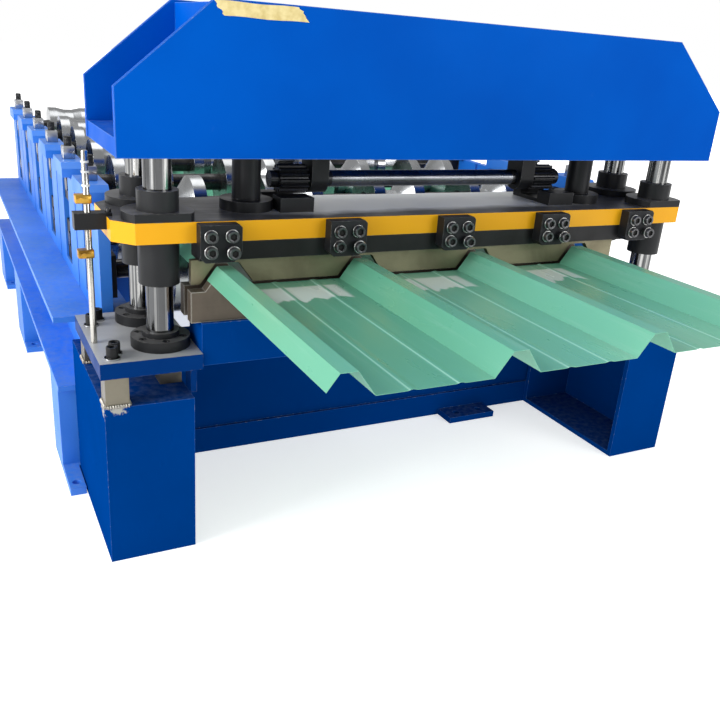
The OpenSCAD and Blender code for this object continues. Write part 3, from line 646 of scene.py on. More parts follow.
@dataclass(frozen=True)
class Prepaint:
    """Coil-coated roofing sheet, glossy on its face, with painted highlights along its stiffeners' shoulders and a
    painted reflection, a pale patch on the pans, beside the blade.
    """

    name: str
    colour: Colour = linear(112, 182, 154)
    deep: Colour = linear(94, 164, 134)
    pan_z: float = 0.632
    # front and rear edges in Y of the painted reflection on the pans
    reflection_front: float = -0.572
    reflection_rear: float = -0.486
    shoulders: tuple[float, float] = (0.1130, 0.2080)

    @staticmethod
    def across(r: Recipe) -> object:
        """Distance to the right of the last rib's centre: (x - first rib) modulo the ribs' pitch."""
        return r.math("FLOORED_MODULO", r.math("SUBTRACT", r.part(Axis.X), FIRST_RIB), RIB_PITCH)

    def sheen(self, r: Recipe) -> object:
        """Share of the painted reflection, a pale patch on the pans just outside the blade: it lies between two edges
        across the sheet, ends ragged in front, and keeps off the ribs."""
        across = self.across(r)
        pan = r.times(r.span(across, 0.058, 0.064), r.span(across, 0.256, 0.246))
        low = r.span(r.part(Axis.Z), self.pan_z, self.pan_z - 0.001)
        rag = r.span(r.noise(16, 3, (1, 0.1, 1)), 0.35, 0.65, -0.022, 0.022)
        along = r.math("ADD", r.part(Axis.Y), rag)
        band = r.times(r.span(along, self.reflection_front - 0.008, self.reflection_front),
                       r.span(r.part(Axis.Y), self.reflection_rear + 0.010, self.reflection_rear))
        return r.times(r.times(pan, low), band)

    def shoulder_highlights(self, r: Recipe) -> object:
        """Painted highlight: a thin bright streak along the left shoulder of each pan's two stiffeners, where the bend
        catches light, at each place across the sheet."""
        across = self.across(r)
        found = [r.span(r.math("ABSOLUTE", r.math("SUBTRACT", across, at)), 0.0022, 0.0010) for at in self.shoulders]
        return r.math("MAXIMUM", *found)

    def make(self) -> bpy.types.Material:
        """Builds the material."""
        r = Recipe(self.name)
        body = r.mix(r.span(r.noise(2.2, 3, (1, 0.2, 1)), 0.35, 0.65), self.colour, self.deep)
        rubbed = r.span(r.noise(38, 6, (1.0, 0.04, 1.0), 0.7), 0.55, 0.75)
        body = r.over(body, linear(176, 214, 200), rubbed, 0.22)
        # painted highlights: thin bright streaks along the stiffeners' left shoulders
        body = r.over(body, linear(178, 232, 212), self.shoulder_highlights(r), 0.5)
        # painted reflection: a pale patch on the pans just outside the blade
        body = r.over(body, linear(228, 238, 232), self.sheen(r), 0.74)
        r.bump(r.noise(5.5, 2, (1.0, 0.3, 1.0)), 0.0005)
        r.bump(r.noise(700, 2), 0.000012)
        rough = r.uneven(r.noise(9, 5, (1, 0.3, 1)), 0.24, 0.36)
        return r.done(body, rough, coat=0.12, coat_rough=0.2, specular=0.4)


@dataclass(frozen=True)
class Plain:
    """Brass, tape, cable ties and the black of the screw sockets, painted shade with some dirt: a colour, its stain,
    and a fine relief.
    """

    name: str
    colour: Colour
    stain: Colour
    rough: float
    metal: float = 0.0
    relief: float = 0.0001
    scale: float = 120.0

    def make(self) -> bpy.types.Material:
        """Builds the material."""
        r = Recipe(self.name)
        body = r.mix(r.span(r.noise(self.scale / 5, 5), 0.4, 0.66), self.colour, self.stain)
        r.bump(r.noise(self.scale, 4), self.relief)
        rough = r.uneven(r.noise(self.scale / 3, 4), self.rough - 0.06, self.rough + 0.1)
        return r.done(body, rough, self.metal)


class Finish(Enum):
    """Every finish of the machine."""

    # the hood's painted edge highlight is near white
    HOOD_BLUE = Enamel("hood_blue", linear(0, 76, 174), linear(0, 90, 194), gloss=0.01,
                       edge_highlight=linear(170, 210, 255), scuffed=0.05)
    LEG_BLUE = Enamel("leg_blue", linear(0, 52, 120), linear(0, 60, 136), gloss=0.0, scuffed=0.03,
                      scraped=(((0.862, -0.462, 0.388), 0.042), ((0.830, -0.476, 0.390), 0.036)))
    BED_BLUE = Enamel("bed_blue", linear(20, 112, 214), linear(84, 148, 240), 0.42, dust=0.3, gloss=0.5)
    # the last pair places the painted highlight on the platen's top: behind Y = -0.39, about 0.36 m either side of the
    # middle
    PLATEN = TwoTone("platen_yellow", linear(226, 160, 14), linear(236, 172, 22), linear(96, 96, 98),
                     linear(62, 62, 64), 0.3, 0.2, (-0.39, 0.36))
    BASE_PLATE = TwoTone("base_plate_blue", linear(0, 46, 108), linear(0, 54, 122),
                         linear(196, 198, 200), linear(156, 158, 162), 0.2, 0.02)
    FLANGE = TwoTone("flange_steel", linear(30, 31, 33), linear(42, 43, 45), linear(112, 112, 112),
                     linear(76, 76, 78), 0.4, 0.2)
    BLACK = BlackOxide("black_oxide")
    BLACK_DEEP = BlackOxide("black_oxide_bar", linear(17, 16, 16), 0.42, 0.1, 0.3)
    SHAFT = Steel("ground_shaft", linear(118, 120, 124), linear(60, 61, 64), 0.24, 1.0, (0.05, 1, 1), 0.8,
                  ends=0.27)
    RACK = BlackOxide("rack_steel", bare_above=0.815)
    BLACK_SOFT = BlackOxide("black_oxide_block", linear(34, 35, 38), 0.46, 0.35, 0.35)
    CHROME = Steel("chrome_posts", linear(196, 196, 194), linear(150, 150, 148), 0.10, streak=0.85)
    SCREW = Steel("socket_screws", linear(98, 98, 100), linear(52, 52, 54), 0.3, 0.85, (1, 1, 1), 0.7)
    WASHER = Steel("screw_washers", linear(206, 206, 204), linear(104, 104, 104), 0.26, 1.0, (1, 1, 1), 0.8)
    TIE = Plain("white_ties", linear(226, 226, 222), linear(200, 200, 196), 0.5)
    POLISHED = Steel("polished_rod", linear(196, 194, 188), linear(146, 140, 128), 0.2)
    BARE = Steel("bare_steel", linear(132, 126, 112), linear(84, 76, 60), 0.42, 0.8, (1, 1, 1), 0.8)
    BLADE = Steel("blade_steel", linear(136, 130, 104), linear(92, 82, 62), 0.4, 0.55, (0.05, 1, 1), 0.7)
    LOWER_BLADE = Steel("lower_blade_steel", linear(98, 88, 77), linear(66, 58, 50), 0.45, 0.5, (0.05, 1, 1), 0.7,
                        worn=0.8)
    ZINC = Steel("zinc_screws", linear(190, 192, 196), linear(140, 142, 146), 0.28, 0.9, (1, 1, 1), 0.4)
    SHEET = Prepaint("green_prepaint")
    TOP_ROLL = RollMetal("top_roll_plating", 0.7108, FIRST_STATION, STATION_PITCH)
    BOTTOM_ROLL = RollMetal("bottom_roll_plating", 0.5482, FIRST_STATION, STATION_PITCH)
    BRASS = Plain("brass", linear(206, 160, 66), linear(150, 112, 44), 0.32, 0.9)
    TAPE = Plain("masking_tape", linear(226, 208, 150), linear(206, 184, 120), 0.7, 0.0, 0.0002, 300.0)
    # painted shade: near-black for the plugs in the screw sockets, with some dirt
    DIRT = Plain("socket_dirt", linear(16, 16, 17), linear(26, 25, 24), 0.8)
    WELD = Steel("weld_bead", linear(168, 164, 156), linear(110, 96, 78), 0.42, 0.85, (1, 1, 1), 0.7)


class Shop:
    """Makes each finish once and hands it out."""

    made: dict[Finish, bpy.types.Material] = {}

    @classmethod
    def finish(cls, kind: Finish) -> bpy.types.Material:
        """The material of a finish, made the first time that it is asked for."""
        if kind not in cls.made:
            cls.made[kind] = kind.value.make()
        return cls.made[kind]


# Small fasteners


@dataclass(frozen=True)
class CapScrew:
    """A socket cap screw standing on Z = 0 with its head up."""

    head_r: float = 0.015
    head_h: float = 0.014
    socket_r: float = 0.0075
    washer_r: float = 0.0
    washer_h: float = 0.003

    def surface(self) -> Surface:
        """The head with a bevelled rim and a hexagonal socket: a profile turned about Z whose inner rings are
        drawn out to a hexagon."""
        r, h, s = self.head_r, self.head_h, self.socket_r
        head = revolved([[0, 0, 0], [r, 0, 0], [r, h * 0.86, 0], [r * 0.93, h, 0], [s * 1.22, h, 0],
                         [s, h * 0.97, 1], [s, h * 0.45, 1], [0, h * 0.40, 1]], 36, 6)
        if not self.washer_r:
            return head
        w = self.washer_r
        washer = ring(r * 0.6, [(w * 0.97, 0), (w, 0.0008), (w, 0.0022), (w * 0.96, self.washer_h)], 36)
        return Surface.joined([head.moved(z=self.washer_h), washer])

    def dirt(self) -> Surface:
        """The near-black plug in the lower half of the socket: painted shade deep in the socket, with some dirt."""
        lift = self.washer_h if self.washer_r else 0.0
        low, high, s = self.head_h * 0.42 + lift, self.head_h * 0.62 + lift, self.socket_r - 0.0002
        return revolved([[0, low, 1], [s, low, 1], [s, high, 1], [0, high, 1]], 36, 6)


def thread(radius: float, low: float, high: float, pitch: float = 0.003, turns: int = 24) -> Surface:
    """A screw thread about Z: r = radius - depth |saw(z / pitch - angle / 2 pi)|, capped at both ends.

    Args:
        radius: outer radius.
        low, high: its two ends.
        pitch: rise of one turn.
        turns: points around.

    Returns:
        A closed surface.
    """
    rows = int((high - low) / pitch * 4) + 1
    z = np.linspace(low, high, rows)[:, None]
    angle = np.linspace(0, 2 * math.pi, turns, endpoint=False)[None]
    phase = (z / pitch - angle / (2 * math.pi)) % 1.0
    r = radius - 0.65 * pitch * np.abs(2 * phase - 1)
    points = np.stack([r * np.cos(angle), r * np.sin(angle), np.broadcast_to(z, r.shape)], axis=-1)
    start = np.tile([[0.0, 0.0, low]], (turns, 1))[None]
    end = np.tile([[0.0, 0.0, high]], (turns, 1))[None]
    return Surface.grid(np.concatenate([start, points, end]), wrap_v=True)


# Sub-assemblies


class Assembly:
    """A part of the machine that is dressed as a whole; what it adds rides on one body."""

    body: ClassVar[str] = Body.FRAME.value
    paints: ClassVar[dict[Finish, tuple[str, ...]]] = {}

    def paint(self) -> None:
        """Gives the assembly's CAD nodes their finishes through their own material slots."""
        for kind, names in self.paints.items():
            for name in names:
                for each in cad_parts[name].material_slots:
                    each.material = Shop.finish(kind)

    def place(self, name: str, surface: Surface, kind: Finish, slot: str, crease: float = 40.0) -> bpy.types.Object:
        """Turns a surface into a piece of the machine that rides on the assembly's body.

        Args:
            name: the piece's name.
            surface: its mesh; closed shells are welded at their seams and poles and turned to face outwards.
            kind: its finish.
            slot: not used.
            crease: edges sharper than this many degrees stay sharp.

        Returns:
            The object.
        """
        mesh = bpy.data.meshes.new(name)
        mesh.from_pydata(surface.points, [], surface.quads.tolist())
        work = bmesh.new()
        work.from_mesh(mesh)
        bmesh.ops.remove_doubles(work, verts=work.verts, dist=1e-6)
        bmesh.ops.dissolve_degenerate(work, edges=work.edges, dist=1e-7)
        bmesh.ops.recalc_face_normals(work, faces=work.faces)
        work.to_mesh(mesh)
        work.free()
        mesh.shade_smooth()
        mesh.set_sharp_from_angle(angle=math.radians(crease))
        mesh.materials.append(Shop.finish(kind))
        piece = bpy.data.objects.new(name, mesh)
        bpy.context.scene.collection.objects.link(piece)
        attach(piece, self.body)
        LOG.info("%s: %d faces", name, len(mesh.polygons))
        return piece


@dataclass
class Studio:
    """Camera, floor and light."""

    eye: Point = (-1.11312, -2.07764, 1.1496)
    yaw: float = 0.494491494
    pitch: float = 0.376329487
    roll: float = -0.0764214195
    focal_px: float = 800.2
    picture_px: float = 720.0
    sensor: float = 36.0
    ambient: float = 0.62
    mirrored: float = 0.5
    floor_glow: float = 0.30
    floor_lift: float = 0.30
    floor_half: float = 40.0
    card_rough: float = 0.7
    card_top: float = 2.6
    card_distance: float = 7.0
    dark_cards: tuple[tuple[float, float], ...] = ((-100, 1.6), (-62, 2.2), (-28, 1.4), (12, 2.6), (55, 2.0))
    lamps: tuple[tuple[str, Point, Point, float, float], ...] = (
        ("key", (-4.8, -0.6, 2.6), (0, 0.2, 0.6), 2.6, 190), ("top", (0.3, 1.6, 4.6), (0.2, 0.4, 0.6), 3.0, 60),
        ("front", (3.0, -4.8, 2.2), (0.3, -0.4, 0.8), 2.4, 96),
        ("low_left", (-4.4, -2.6, 0.7), (0.4, -0.3, 0.3), 2.0, 30))

    def camera(self) -> None:
        """Sets the camera from its three angles: ahead = (sin y cos p, cos y cos p, -sin p), right and down are
        turned about it by the roll."""
        sy, cy, sp, cp = (math.sin(self.yaw), math.cos(self.yaw), math.sin(self.pitch), math.cos(self.pitch))
        ahead = np.array([sy * cp, cy * cp, -sp])
        level = np.array([cy, -sy, 0.0])
        drop = np.cross(ahead, level)
        right = math.cos(self.roll) * level + math.sin(self.roll) * drop
        down = -math.sin(self.roll) * level + math.cos(self.roll) * drop
        data = bpy.data.cameras.new("camera")
        data.sensor_width = self.sensor
        data.lens = self.sensor * self.focal_px / self.picture_px
        data.clip_start, data.clip_end = 0.05, 60.0
        eye = bpy.data.objects.new("camera", data)
        turn = Matrix([[right[i], -down[i], -ahead[i], self.eye[i]] for i in range(3)] + [[0, 0, 0, 1]])
        eye.matrix_world = turn
        bpy.context.scene.collection.objects.link(eye)
        bpy.context.scene.camera = eye

    def card(self, name: str, corners: list[Point], colour: Colour, glow: float) -> bpy.types.Material:
        """A flat stage card of four corners.

        Args:
            name: its name, and its material's.
            corners: once round it.
            colour: of its surface.
            glow: strength of the white light that it gives off.

        Returns:
            Its material.
        """
        mesh = bpy.data.meshes.new(name)
        mesh.from_pydata(corners, [], [(0, 1, 2, 3)])
        card = bpy.data.objects.new(name, mesh)
        bpy.context.scene.collection.objects.link(card)
        material = bpy.data.materials.new(name)
        material.use_nodes = True
        shader = material.node_tree.nodes["Principled BSDF"]
        for socket, value in (("Base Color", (*colour, 1)), ("Roughness", self.card_rough),
                              ("Specular IOR Level", 0.0), ("Emission Color", (1, 1, 1, 1)),
                              ("Emission Strength", glow)):
            shader.inputs[socket].default_value = value
        mesh.materials.append(material)
        return material

    @staticmethod
    def hide(material: bpy.types.Material) -> None:
        """Lets every ray but a reflected one through a card, so that it shows only as a streak in metal."""
        tree = material.node_tree
        shader, output = tree.nodes["Principled BSDF"], tree.nodes["Material Output"]
        path, clear, either = (shader_node(tree, kind) for kind in ("LightPath", "BsdfTransparent", "MixShader"))
        wire(tree, (path.outputs["Is Glossy Ray"], either.inputs[0]), (clear.outputs[0], either.inputs[1]),
             (shader.outputs[0], either.inputs[2]), (either.outputs[0], output.inputs[0]))

    def cards(self) -> None:
        """The floor, whose glow rises from 2 m to 9 m away and has a lift for the camera, and dark upright cards
        round the back of the camera that bright metal mirrors as streaks."""
        half = self.floor_half
        corners = [(-half, -half, 0), (half, -half, 0), (half, half, 0), (-half, half, 0)]
        tree = self.card("floor", corners, (0.87, 0.87, 0.87), self.floor_glow).node_tree
        where, away, path, lift = (shader_node(tree, kind) for kind in ("TexCoord", "VectorMath", "LightPath", "Math"))
        away.operation, lift.operation = "LENGTH", "MULTIPLY_ADD"
        glow = shader_node(tree, "MapRange", From_Min=2.0, From_Max=9.0, To_Min=self.floor_glow, To_Max=1.0)
        lift.inputs[1].default_value = self.floor_lift
        wire(tree, (where.outputs["Object"], away.inputs[0]), (away.outputs["Value"], glow.inputs["Value"]),
             (path.outputs["Is Camera Ray"], lift.inputs[0]), (glow.outputs[0], lift.inputs[2]),
             (lift.outputs[0], tree.nodes["Principled BSDF"].inputs["Emission Strength"]))
        for k, (degrees, width) in enumerate(self.dark_cards):
            middle = math.radians(degrees)
            out = np.array([math.sin(middle), -math.cos(middle)]) * self.card_distance
            along = np.array([math.cos(middle), math.sin(middle)]) * width / 2
            (ax, ay), (bx, by) = out - along, out + along
            corners = [(ax, ay, 0.05), (bx, by, 0.05), (bx, by, self.card_top), (ax, ay, self.card_top)]
            self.hide(self.card(f"dark_card_{k + 1}", corners, (0.02, 0.02, 0.022), 0.0))

    def world(self) -> None:
        """A world that is white to the camera and a little darker in reflections than in what it lights: its
        strength is the greater of the two levels that the kind of ray sets."""
        world = bpy.data.worlds.new("world")
        world.use_nodes = True
        tree = world.node_tree
        background = tree.nodes["Background"]
        path, brightest = (shader_node(tree, kind) for kind in ("LightPath", "Math"))
        brightest.operation = "MAXIMUM"
        for k, (ray, low, high) in enumerate((("Is Glossy Ray", self.ambient, self.mirrored),
                                              ("Is Camera Ray", 0.0, 1.0))):
            level = shader_node(tree, "MapRange", To_Min=low, To_Max=high)
            wire(tree, (path.outputs[ray], level.inputs["Value"]), (level.outputs[0], brightest.inputs[k]))
        wire(tree, (brightest.outputs[0], background.inputs["Strength"]))
        background.inputs["Color"].default_value = (1, 1, 1, 1)
        bpy.context.scene.world = world

    def lamp(self, name: str, at: Point, aim: Point, size: float, power: float) -> None:
        """A square soft lamp at a place that looks at a point, with its side in metres and its power in watts."""
        data = bpy.data.lights.new(name, "AREA")
        data.size = size
        data.energy = power
        lamp = bpy.data.objects.new(name, data)
        lamp.rotation_mode = "QUATERNION"
        lamp.rotation_quaternion = (Vector(at) - Vector(aim)).to_track_quat("Z", "Y")
        lamp.location = at
        bpy.context.scene.collection.objects.link(lamp)

    def build(self) -> None:
        """Sets up the whole stage."""
        self.camera()
        self.cards()
        self.world()
        for each in self.lamps:
            self.lamp(*each)
        bpy.context.scene.view_settings.view_transform = "Standard"


@dataclass
class Panel(Assembly):
    """The formed sheet in front of the shear, with the shallow stiffeners in its pans."""

    paints: ClassVar[dict[Finish, tuple[str, ...]]] = {Finish.SHEET: ("strip_in_rolls",)}
    ribs: int = 4
    rib_top: float = 0.032
    rib_base: float = 0.100
    rib_h: float = 0.046
    swage_w: float = 0.022
    swage_h: float = 0.0022
    swage_gap: float = 0.095
    thickness: float = 0.0009

    def profile(self, x: np.ndarray) -> np.ndarray:
        """Height of the sheet over its pans: each rib is h clamp((base - d) / (base - top)), d the distance from
        the rib's centre, and each stiffener a cosine hump h (1 + cos) / 2.

        Args:
            x: places across the sheet.

        Returns:
            The heights.
        """
        centres = FIRST_RIB + RIB_PITCH * np.arange(self.ribs)
        d = np.abs(x[:, None] - centres).min(axis=1)
        rib = self.rib_h * np.clip((self.rib_base / 2 - d) / (self.rib_base / 2 - self.rib_top / 2), 0, 1)
        middles = centres[:-1] + RIB_PITCH / 2
        swages = np.concatenate([middles - self.swage_gap / 2, middles + self.swage_gap / 2])
        near = np.abs(x[:, None] - swages).min(axis=1)
        swage = np.where(near < self.swage_w / 2, np.cos(near * 2 * math.pi / self.swage_w) + 1, 0)
        return rib + self.swage_h / 2 * swage

    def build(self) -> None:
        """Makes the panel as a closed shell, the profile along X carried along Y, top and underside, and paints
        the strip."""
        low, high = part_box("formed_panel")
        bends = FIRST_RIB + RIB_PITCH * np.arange(self.ribs)[:, None] + np.array(
            [-self.rib_base / 2, -self.rib_top / 2, self.rib_top / 2, self.rib_base / 2])
        inside = bends.ravel()[bends.ravel() > low[0]]
        x = np.unique(np.concatenate([np.linspace(low[0], high[0], 260), inside]).round(5))
        y = np.linspace(low[1], high[1], 60)
        z = np.broadcast_to((low[2] + self.profile(x))[:, None], (len(x), len(y)))
        under = np.stack([*np.broadcast_arrays(x[:, None], y[None]), z], axis=-1)
        top = under + np.array([0, 0, self.thickness])
        loop = np.concatenate([top, under[::-1]])
        shell = Surface.grid(loop, wrap_u=True)
        count, rows = len(x), len(y)
        index = np.arange(2 * count * rows).reshape(2 * count, rows)
        caps = [np.stack([index[:count - 1, e], index[1:count, e], index[2 * count - 2:count - 1:-1, e],
                          index[2 * count - 1:count:-1, e]], axis=-1) for e in (0, rows - 1)]
        panel = Surface(shell.points, np.concatenate([shell.quads] + caps))
        piece = self.place("sheet_panel", panel, Finish.SHEET, "green_sheet", 25.0)
        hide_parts("formed_panel")
        self.paint()


@dataclass
class Hood(Assembly):
    """The shear's upper yoke: painted plates, cylinders and a strip of tape."""

    paints: ClassVar[dict[Finish, tuple[str, ...]]] = {
        Finish.HOOD_BLUE: ("hood_front_plate", "hood_rear_plate", "hood_bottom_plate", "hood_ribs"),
        Finish.BLACK: ("cylinders", "shaft_hangers")}
    tape_w: float = 0.0265
    tape_top: float = 1.2060
    tape_ends: tuple[float, float] = (-0.620, -0.447)

    def tape(self) -> None:
        """A bare strip of masking tape on the front plate: x runs from a torn left end to a torn right end by the
        share s, and z falls from the upper edge by the tape's width times the share t."""
        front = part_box("hood_front_plate")[0][1]
        s = np.linspace(0, 1, 40)
        t = np.linspace(0, 1, 9)
        torn = np.random.default_rng(SEED).normal(0, 0.0016, (2, len(t)))
        left, right = self.tape_ends[0] + 0.022 * t + torn[0], self.tape_ends[1] + 0.024 * t + torn[1]
        x = left[None] + (right - left)[None] * s[:, None]
        z = self.tape_top - self.tape_w * t[None] + 0.0008 * np.sin(s[:, None] * 9)
        lift = 0.0006 + 0.0005 * np.sin(s[:, None] * 26) ** 2 + 0 * t[None]
        outer = np.stack([x + 0 * z, front - lift, z], axis=-1)
        inner = outer.copy()
        inner[..., 1] = front - 0.0001
        both = Surface.joined([Surface.grid(outer), Surface.grid(inner[::-1])])
        self.place("tape_strip", both, Finish.TAPE, "hood_paint")

    def build(self) -> None:
        """Dresses the hood."""
        self.paint()
        self.tape()


@dataclass
class Platen(Assembly):
    """The moving platen with its bushes, clamps, blade and racks."""

    body: ClassVar[str] = Body.PLATEN.value
    paints: ClassVar[dict[Finish, tuple[str, ...]]] = {
        Finish.PLATEN: ("platen",), Finish.BLACK: ("cylinder_rods", "switch_bracket"),
        Finish.FLANGE: ("guide_bushes",), Finish.BLACK_DEEP: ("blade_bar",), Finish.BLACK_SOFT: ("blade_clamps",),
        Finish.BLADE: ("upper_blade",), Finish.RACK: ("gear_racks",), Finish.SHAFT: ("sync_shaft",)}
    clamp_xs: tuple[float, ...] = (-0.6, -0.3, 0.0, 0.3, 0.6)
    screw_dx: float = 0.023
    screw_zs: tuple[float, float] = (0.750, 0.7165)
    clamp_screw: CapScrew = CapScrew(0.0132, 0.0125, 0.0072)
    shank_r: float = 0.0095
    stand_out: float = 0.012
    corner_w: float = 0.020
    small_screw: CapScrew = CapScrew(0.0065, 0.007, 0.0032)

    def screws(self) -> None:
        """Four cap screws with bright washers on each clamp, heads to the front; the lower right one is longer and
        stands out."""
        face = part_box("blade_clamps")[0][1]
        places = [(x + dx, face, z) for x in self.clamp_xs for dx in (-self.screw_dx, self.screw_dx)
                  for z in self.screw_zs]
        longer = [(x + self.screw_dx, face, self.screw_zs[1]) for x in self.clamp_xs]
        shank = revolved([[0, 0], [self.shank_r, 0], [self.shank_r, self.stand_out], [0, self.stand_out]])
        self.place("long_screw_shanks", shank.to_front().at(longer), Finish.SCREW, "black_oxide")
        heads = [(x, y - self.stand_out * ((x, y, z) in longer), z) for x, y, z in places]
        head = self.clamp_screw.surface().to_front()
        piece = self.place("clamp_screw_heads", head.at(heads), Finish.SCREW, "black_oxide")
        # painted shade: a near-black plug in the lower half of each socket, with some dirt
        fill = self.clamp_screw.dirt().to_front()
        self.place("clamp_socket_dirt", fill.at(heads), Finish.DIRT, "black_oxide")
        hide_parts("clamp_screws")
        washer = ring(0.012, [(0.0146, 0), (0.0151, 0.001), (0.0151, 0.0020), (0.0144, 0.0028)], 36)
        self.place("clamp_washers", washer.to_front().at(heads), Finish.WASHER, "black_oxide")

    def blade_corner(self) -> None:
        """The square lower corner at the blade's left end: a triangle in X and Z carried through its thickness."""
        low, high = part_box("upper_blade")
        top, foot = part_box("blade_bar")[0][2], low[2]
        outline = [[low[0], top], [low[0], foot], [low[0] + self.corner_w, foot]]
        corner = prism(outline, -high[1], -low[1]).to_front()
        self.place("blade_corner", corner, Finish.BLADE, "blade_steel")

    def bracket_screw(self) -> None:
        """The socket screw that holds the switch bracket to the platen."""
        low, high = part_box("switch_bracket")
        head = self.small_screw.surface().moved(high[0] - 0.006, (low[1] + high[1]) / 2, high[2])
        self.place("bracket_screw", head, Finish.SCREW, "black_oxide")

    def build(self) -> None:
        """Dresses the platen."""
        self.paint()
        self.screws()
        self.blade_corner()
        self.bracket_screw()


@dataclass
class ShearFrame(Assembly):
    """Legs, packing blocks, base plates, guide posts and the lower blades."""

    paints: ClassVar[dict[Finish, tuple[str, ...]]] = {
        Finish.LEG_BLUE: ("left_leg", "right_leg", "die_beam"),
        Finish.BASE_PLATE: ("left_base_plate", "right_base_plate"), Finish.BARE: ("packing_blocks",),
        Finish.CHROME: ("guide_posts",), Finish.FLANGE: ("post_flanges",),
        Finish.LOWER_BLADE: ("lower_blade_front", "lower_blade_rear")}
    post_x: float = 0.715
    post_ys: tuple[float, float] = (-0.393, -0.219)
    base_screw: CapScrew = CapScrew(0.0125, 0.024, 0.0066, 0.017)
    base_screws_at: tuple[tuple[float, float], ...] = ((0.832, -0.452), (0.822, -0.425), (0.838, -0.232),
                                                       (0.818, -0.196))
    flange_screw: CapScrew = CapScrew(0.0072, 0.0075, 0.0036)
    flange_h: float = 0.024
    flange_screw_ring: float = 0.051
    sunk: float = 0.0085
    switch_zs: tuple[float, float] = (0.686, 0.802)
    switch_depth: float = 0.022
    switch_h: float = 0.018
    rod_r: float = 0.0068
    tie_zs: tuple[float, ...] = (0.838, 0.866, 0.886)
    block_side: float = 0.050
    bead_r: float = 0.005

    def base_screws(self) -> None:
        """Two pairs of tall socket screws with washers on each base plate, outside the posts."""
        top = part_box("right_base_plate")[1][2]
        places = [(side * x, y, top) for side in (-1, 1) for x, y in self.base_screws_at]
        screw = self.base_screw
        self.place("base_plate_screws", screw.surface().at(places), Finish.BLACK, "black_oxide")
        # painted shade: a near-black plug in the lower half of each socket, with some dirt
        self.place("base_socket_dirt", screw.dirt().at(places), Finish.DIRT, "black_oxide")
        washer = ring(0.008, [(0.0168, 0), (0.0175, 0.0008), (0.0175, 0.0022), (0.0168, 0.003)], 32)
        self.place("base_plate_washers", washer.at(places), Finish.ZINC, "polished_steel")

    def switches(self) -> None:
        """The bright rod beside the platen with two brass switch blocks, their noses and white cable ties."""
        low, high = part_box("switch_rod")
        depth, height, r = self.switch_depth, self.switch_h, self.rod_r
        x, y = high[0] - 0.009, (low[1] + high[1]) / 2
        profile = [[0, low[2]], [r, low[2]], [r, high[2] - 0.002], [r - 0.0015, high[2]], [0, high[2]]]
        rod = revolved(profile, 28).moved(x, y)
        piece = self.place("switch_rod_bar", rod, Finish.POLISHED, "polished_steel")
        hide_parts("switch_rod")
        parts = []
        for z in self.switch_zs:
            parts.append(block((x - 0.024, y - depth / 2, z), (x + 0.009, y + depth / 2, z + height), 0.0015))
            nose = revolved([[0, 0], [0.0035, 0], [0.0035, 0.007], [0.0055, 0.0072], [0.0055, 0.012], [0, 0.012]],
                            20).to_front()
            parts.append(nose.moved(x - 0.014, y - depth / 2 + 0.0005, z + height / 2))
        self.place("switch_blocks", Surface.joined(parts), Finish.BRASS, "polished_steel")
        tie = ring(r - 0.0005, [(r + 0.0012, -0.0022), (r + 0.0016, 0), (r + 0.0012, 0.0022)], 28)
        ties = tie.at([(x, y, z) for z in self.tie_zs])
        self.place("switch_ties", ties, Finish.TIE, "polished_steel")

    def flange_screws(self) -> None:
        """Six sunk socket screws in each post flange."""
        top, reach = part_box("left_base_plate")[1][2] + self.flange_h, self.flange_screw_ring
        places = [(side * self.post_x + reach * math.cos(a), y + reach * math.sin(a), top - self.sunk)
                  for side in (-1, 1) for y in self.post_ys for a in np.radians(np.arange(30, 390, 60))]
        self.place("flange_screws", self.flange_screw.surface().at(places), Finish.BLACK, "black_oxide")

    def weld_beads(self) -> None:
        """Rough bright beads round the foot of the two outer packing blocks on each side."""
        low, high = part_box("packing_blocks")
        side, z = self.block_side, low[2] + 0.002
        beads = []
        for k, (x, y) in enumerate(((high[0] - side, low[1]), (high[0] - side, high[1] - side))):
            corners = [(x, y), (x + side, y), (x + side, y + side), (x, y + side)]
            for j in range(4):
                a, b = corners[j], corners[(j + 1) % 4]
                beads.append(bead((*a, z), (*b, z), self.bead_r, SEED + 10 * k + j))
        right = Surface.joined(beads)
        self.place("block_welds", Surface.joined([right, right.mirrored()]), Finish.WELD, "bare_steel")

    def build(self) -> None:
        """Dresses the shear's frame."""
        self.paint()
        self.switches()
        self.base_screws()
        self.flange_screws()
        self.weld_beads()


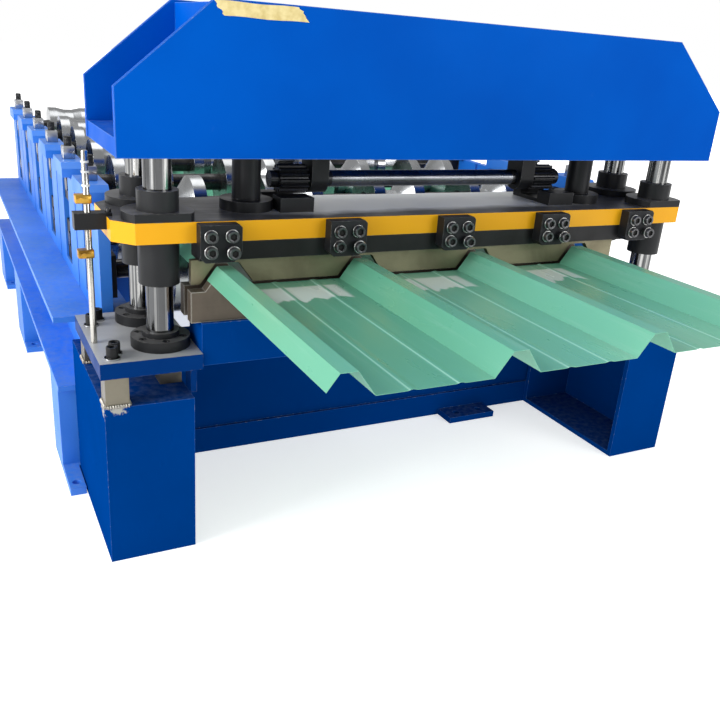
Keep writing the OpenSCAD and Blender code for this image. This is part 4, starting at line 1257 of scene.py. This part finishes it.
@dataclass
class Bed(Assembly):
    """Bed beams, feet, stands, bearing blocks and rolls."""

    paints: ClassVar[dict[Finish, tuple[str, ...]]] = {
        Finish.BED_BLUE: ("left_bed_beam", "right_bed_beam", "left_bed_feet", "right_bed_feet", "left_stands",
                          "right_stands", "stand_caps", "bed_cross_ties"),
        Finish.LEG_BLUE: ("front_cross_beam",), Finish.BLACK_SOFT: ("bearing_blocks",),
        Finish.TOP_ROLL: tuple(f"top_roll_{k}" for k in range(1, STATIONS + 1)),
        Finish.BOTTOM_ROLL: tuple(f"bottom_roll_{k}" for k in range(1, STATIONS + 1))}
    nut_side: float = 0.034
    nut_h: float = 0.036
    screw_r: float = 0.0118

    def adjusters(self) -> None:
        """Threaded adjusting screws in bright square nuts over every bearing, both sides."""
        (low, high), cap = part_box("adjusting_screws"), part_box("stand_caps")[1][2]
        half = self.nut_side / 2
        x = high[0] - half
        places = [(side * x, FIRST_STATION + k * STATION_PITCH, 0.0) for side in (-1, 1) for k in range(STATIONS)]
        tip = revolved([[0, high[2] - 0.006], [0.0105, high[2] - 0.006], [0.0105, high[2] - 0.0015],
                        [0.009, high[2]], [0, high[2]]], 24)
        screw = Surface.joined([thread(self.screw_r, low[2], high[2] - 0.005), tip])
        piece = self.place("adjuster_screws", screw.at(places), Finish.BLACK, "black_oxide")
        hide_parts("adjusting_screws")
        nut = block((-half, -half, cap), (half, half, cap + self.nut_h), 0.002)
        self.place("adjuster_nuts", nut.at(places), Finish.ZINC, "polished_steel")

    def build(self) -> None:
        """Dresses the bed."""
        self.paint()
        self.adjusters()


@dataclass
class Machine:
    """The whole machine, in the order in which it is dressed."""

    parts: list[Studio | Assembly] = field(
        default_factory=lambda: [Studio(), Bed(), ShearFrame(), Hood(), Platen(), Panel()])

    def build(self) -> None:
        """Builds and dresses every sub-assembly."""
        for part in self.parts:
            LOG.info("building %s", type(part).__name__)
            part.build()


def main() -> None:
    """Dresses the machine."""
    logging.basicConfig(level=logging.INFO, format="%(name)s %(message)s")
    Machine().build()


if __name__ == "__main__":
    main()
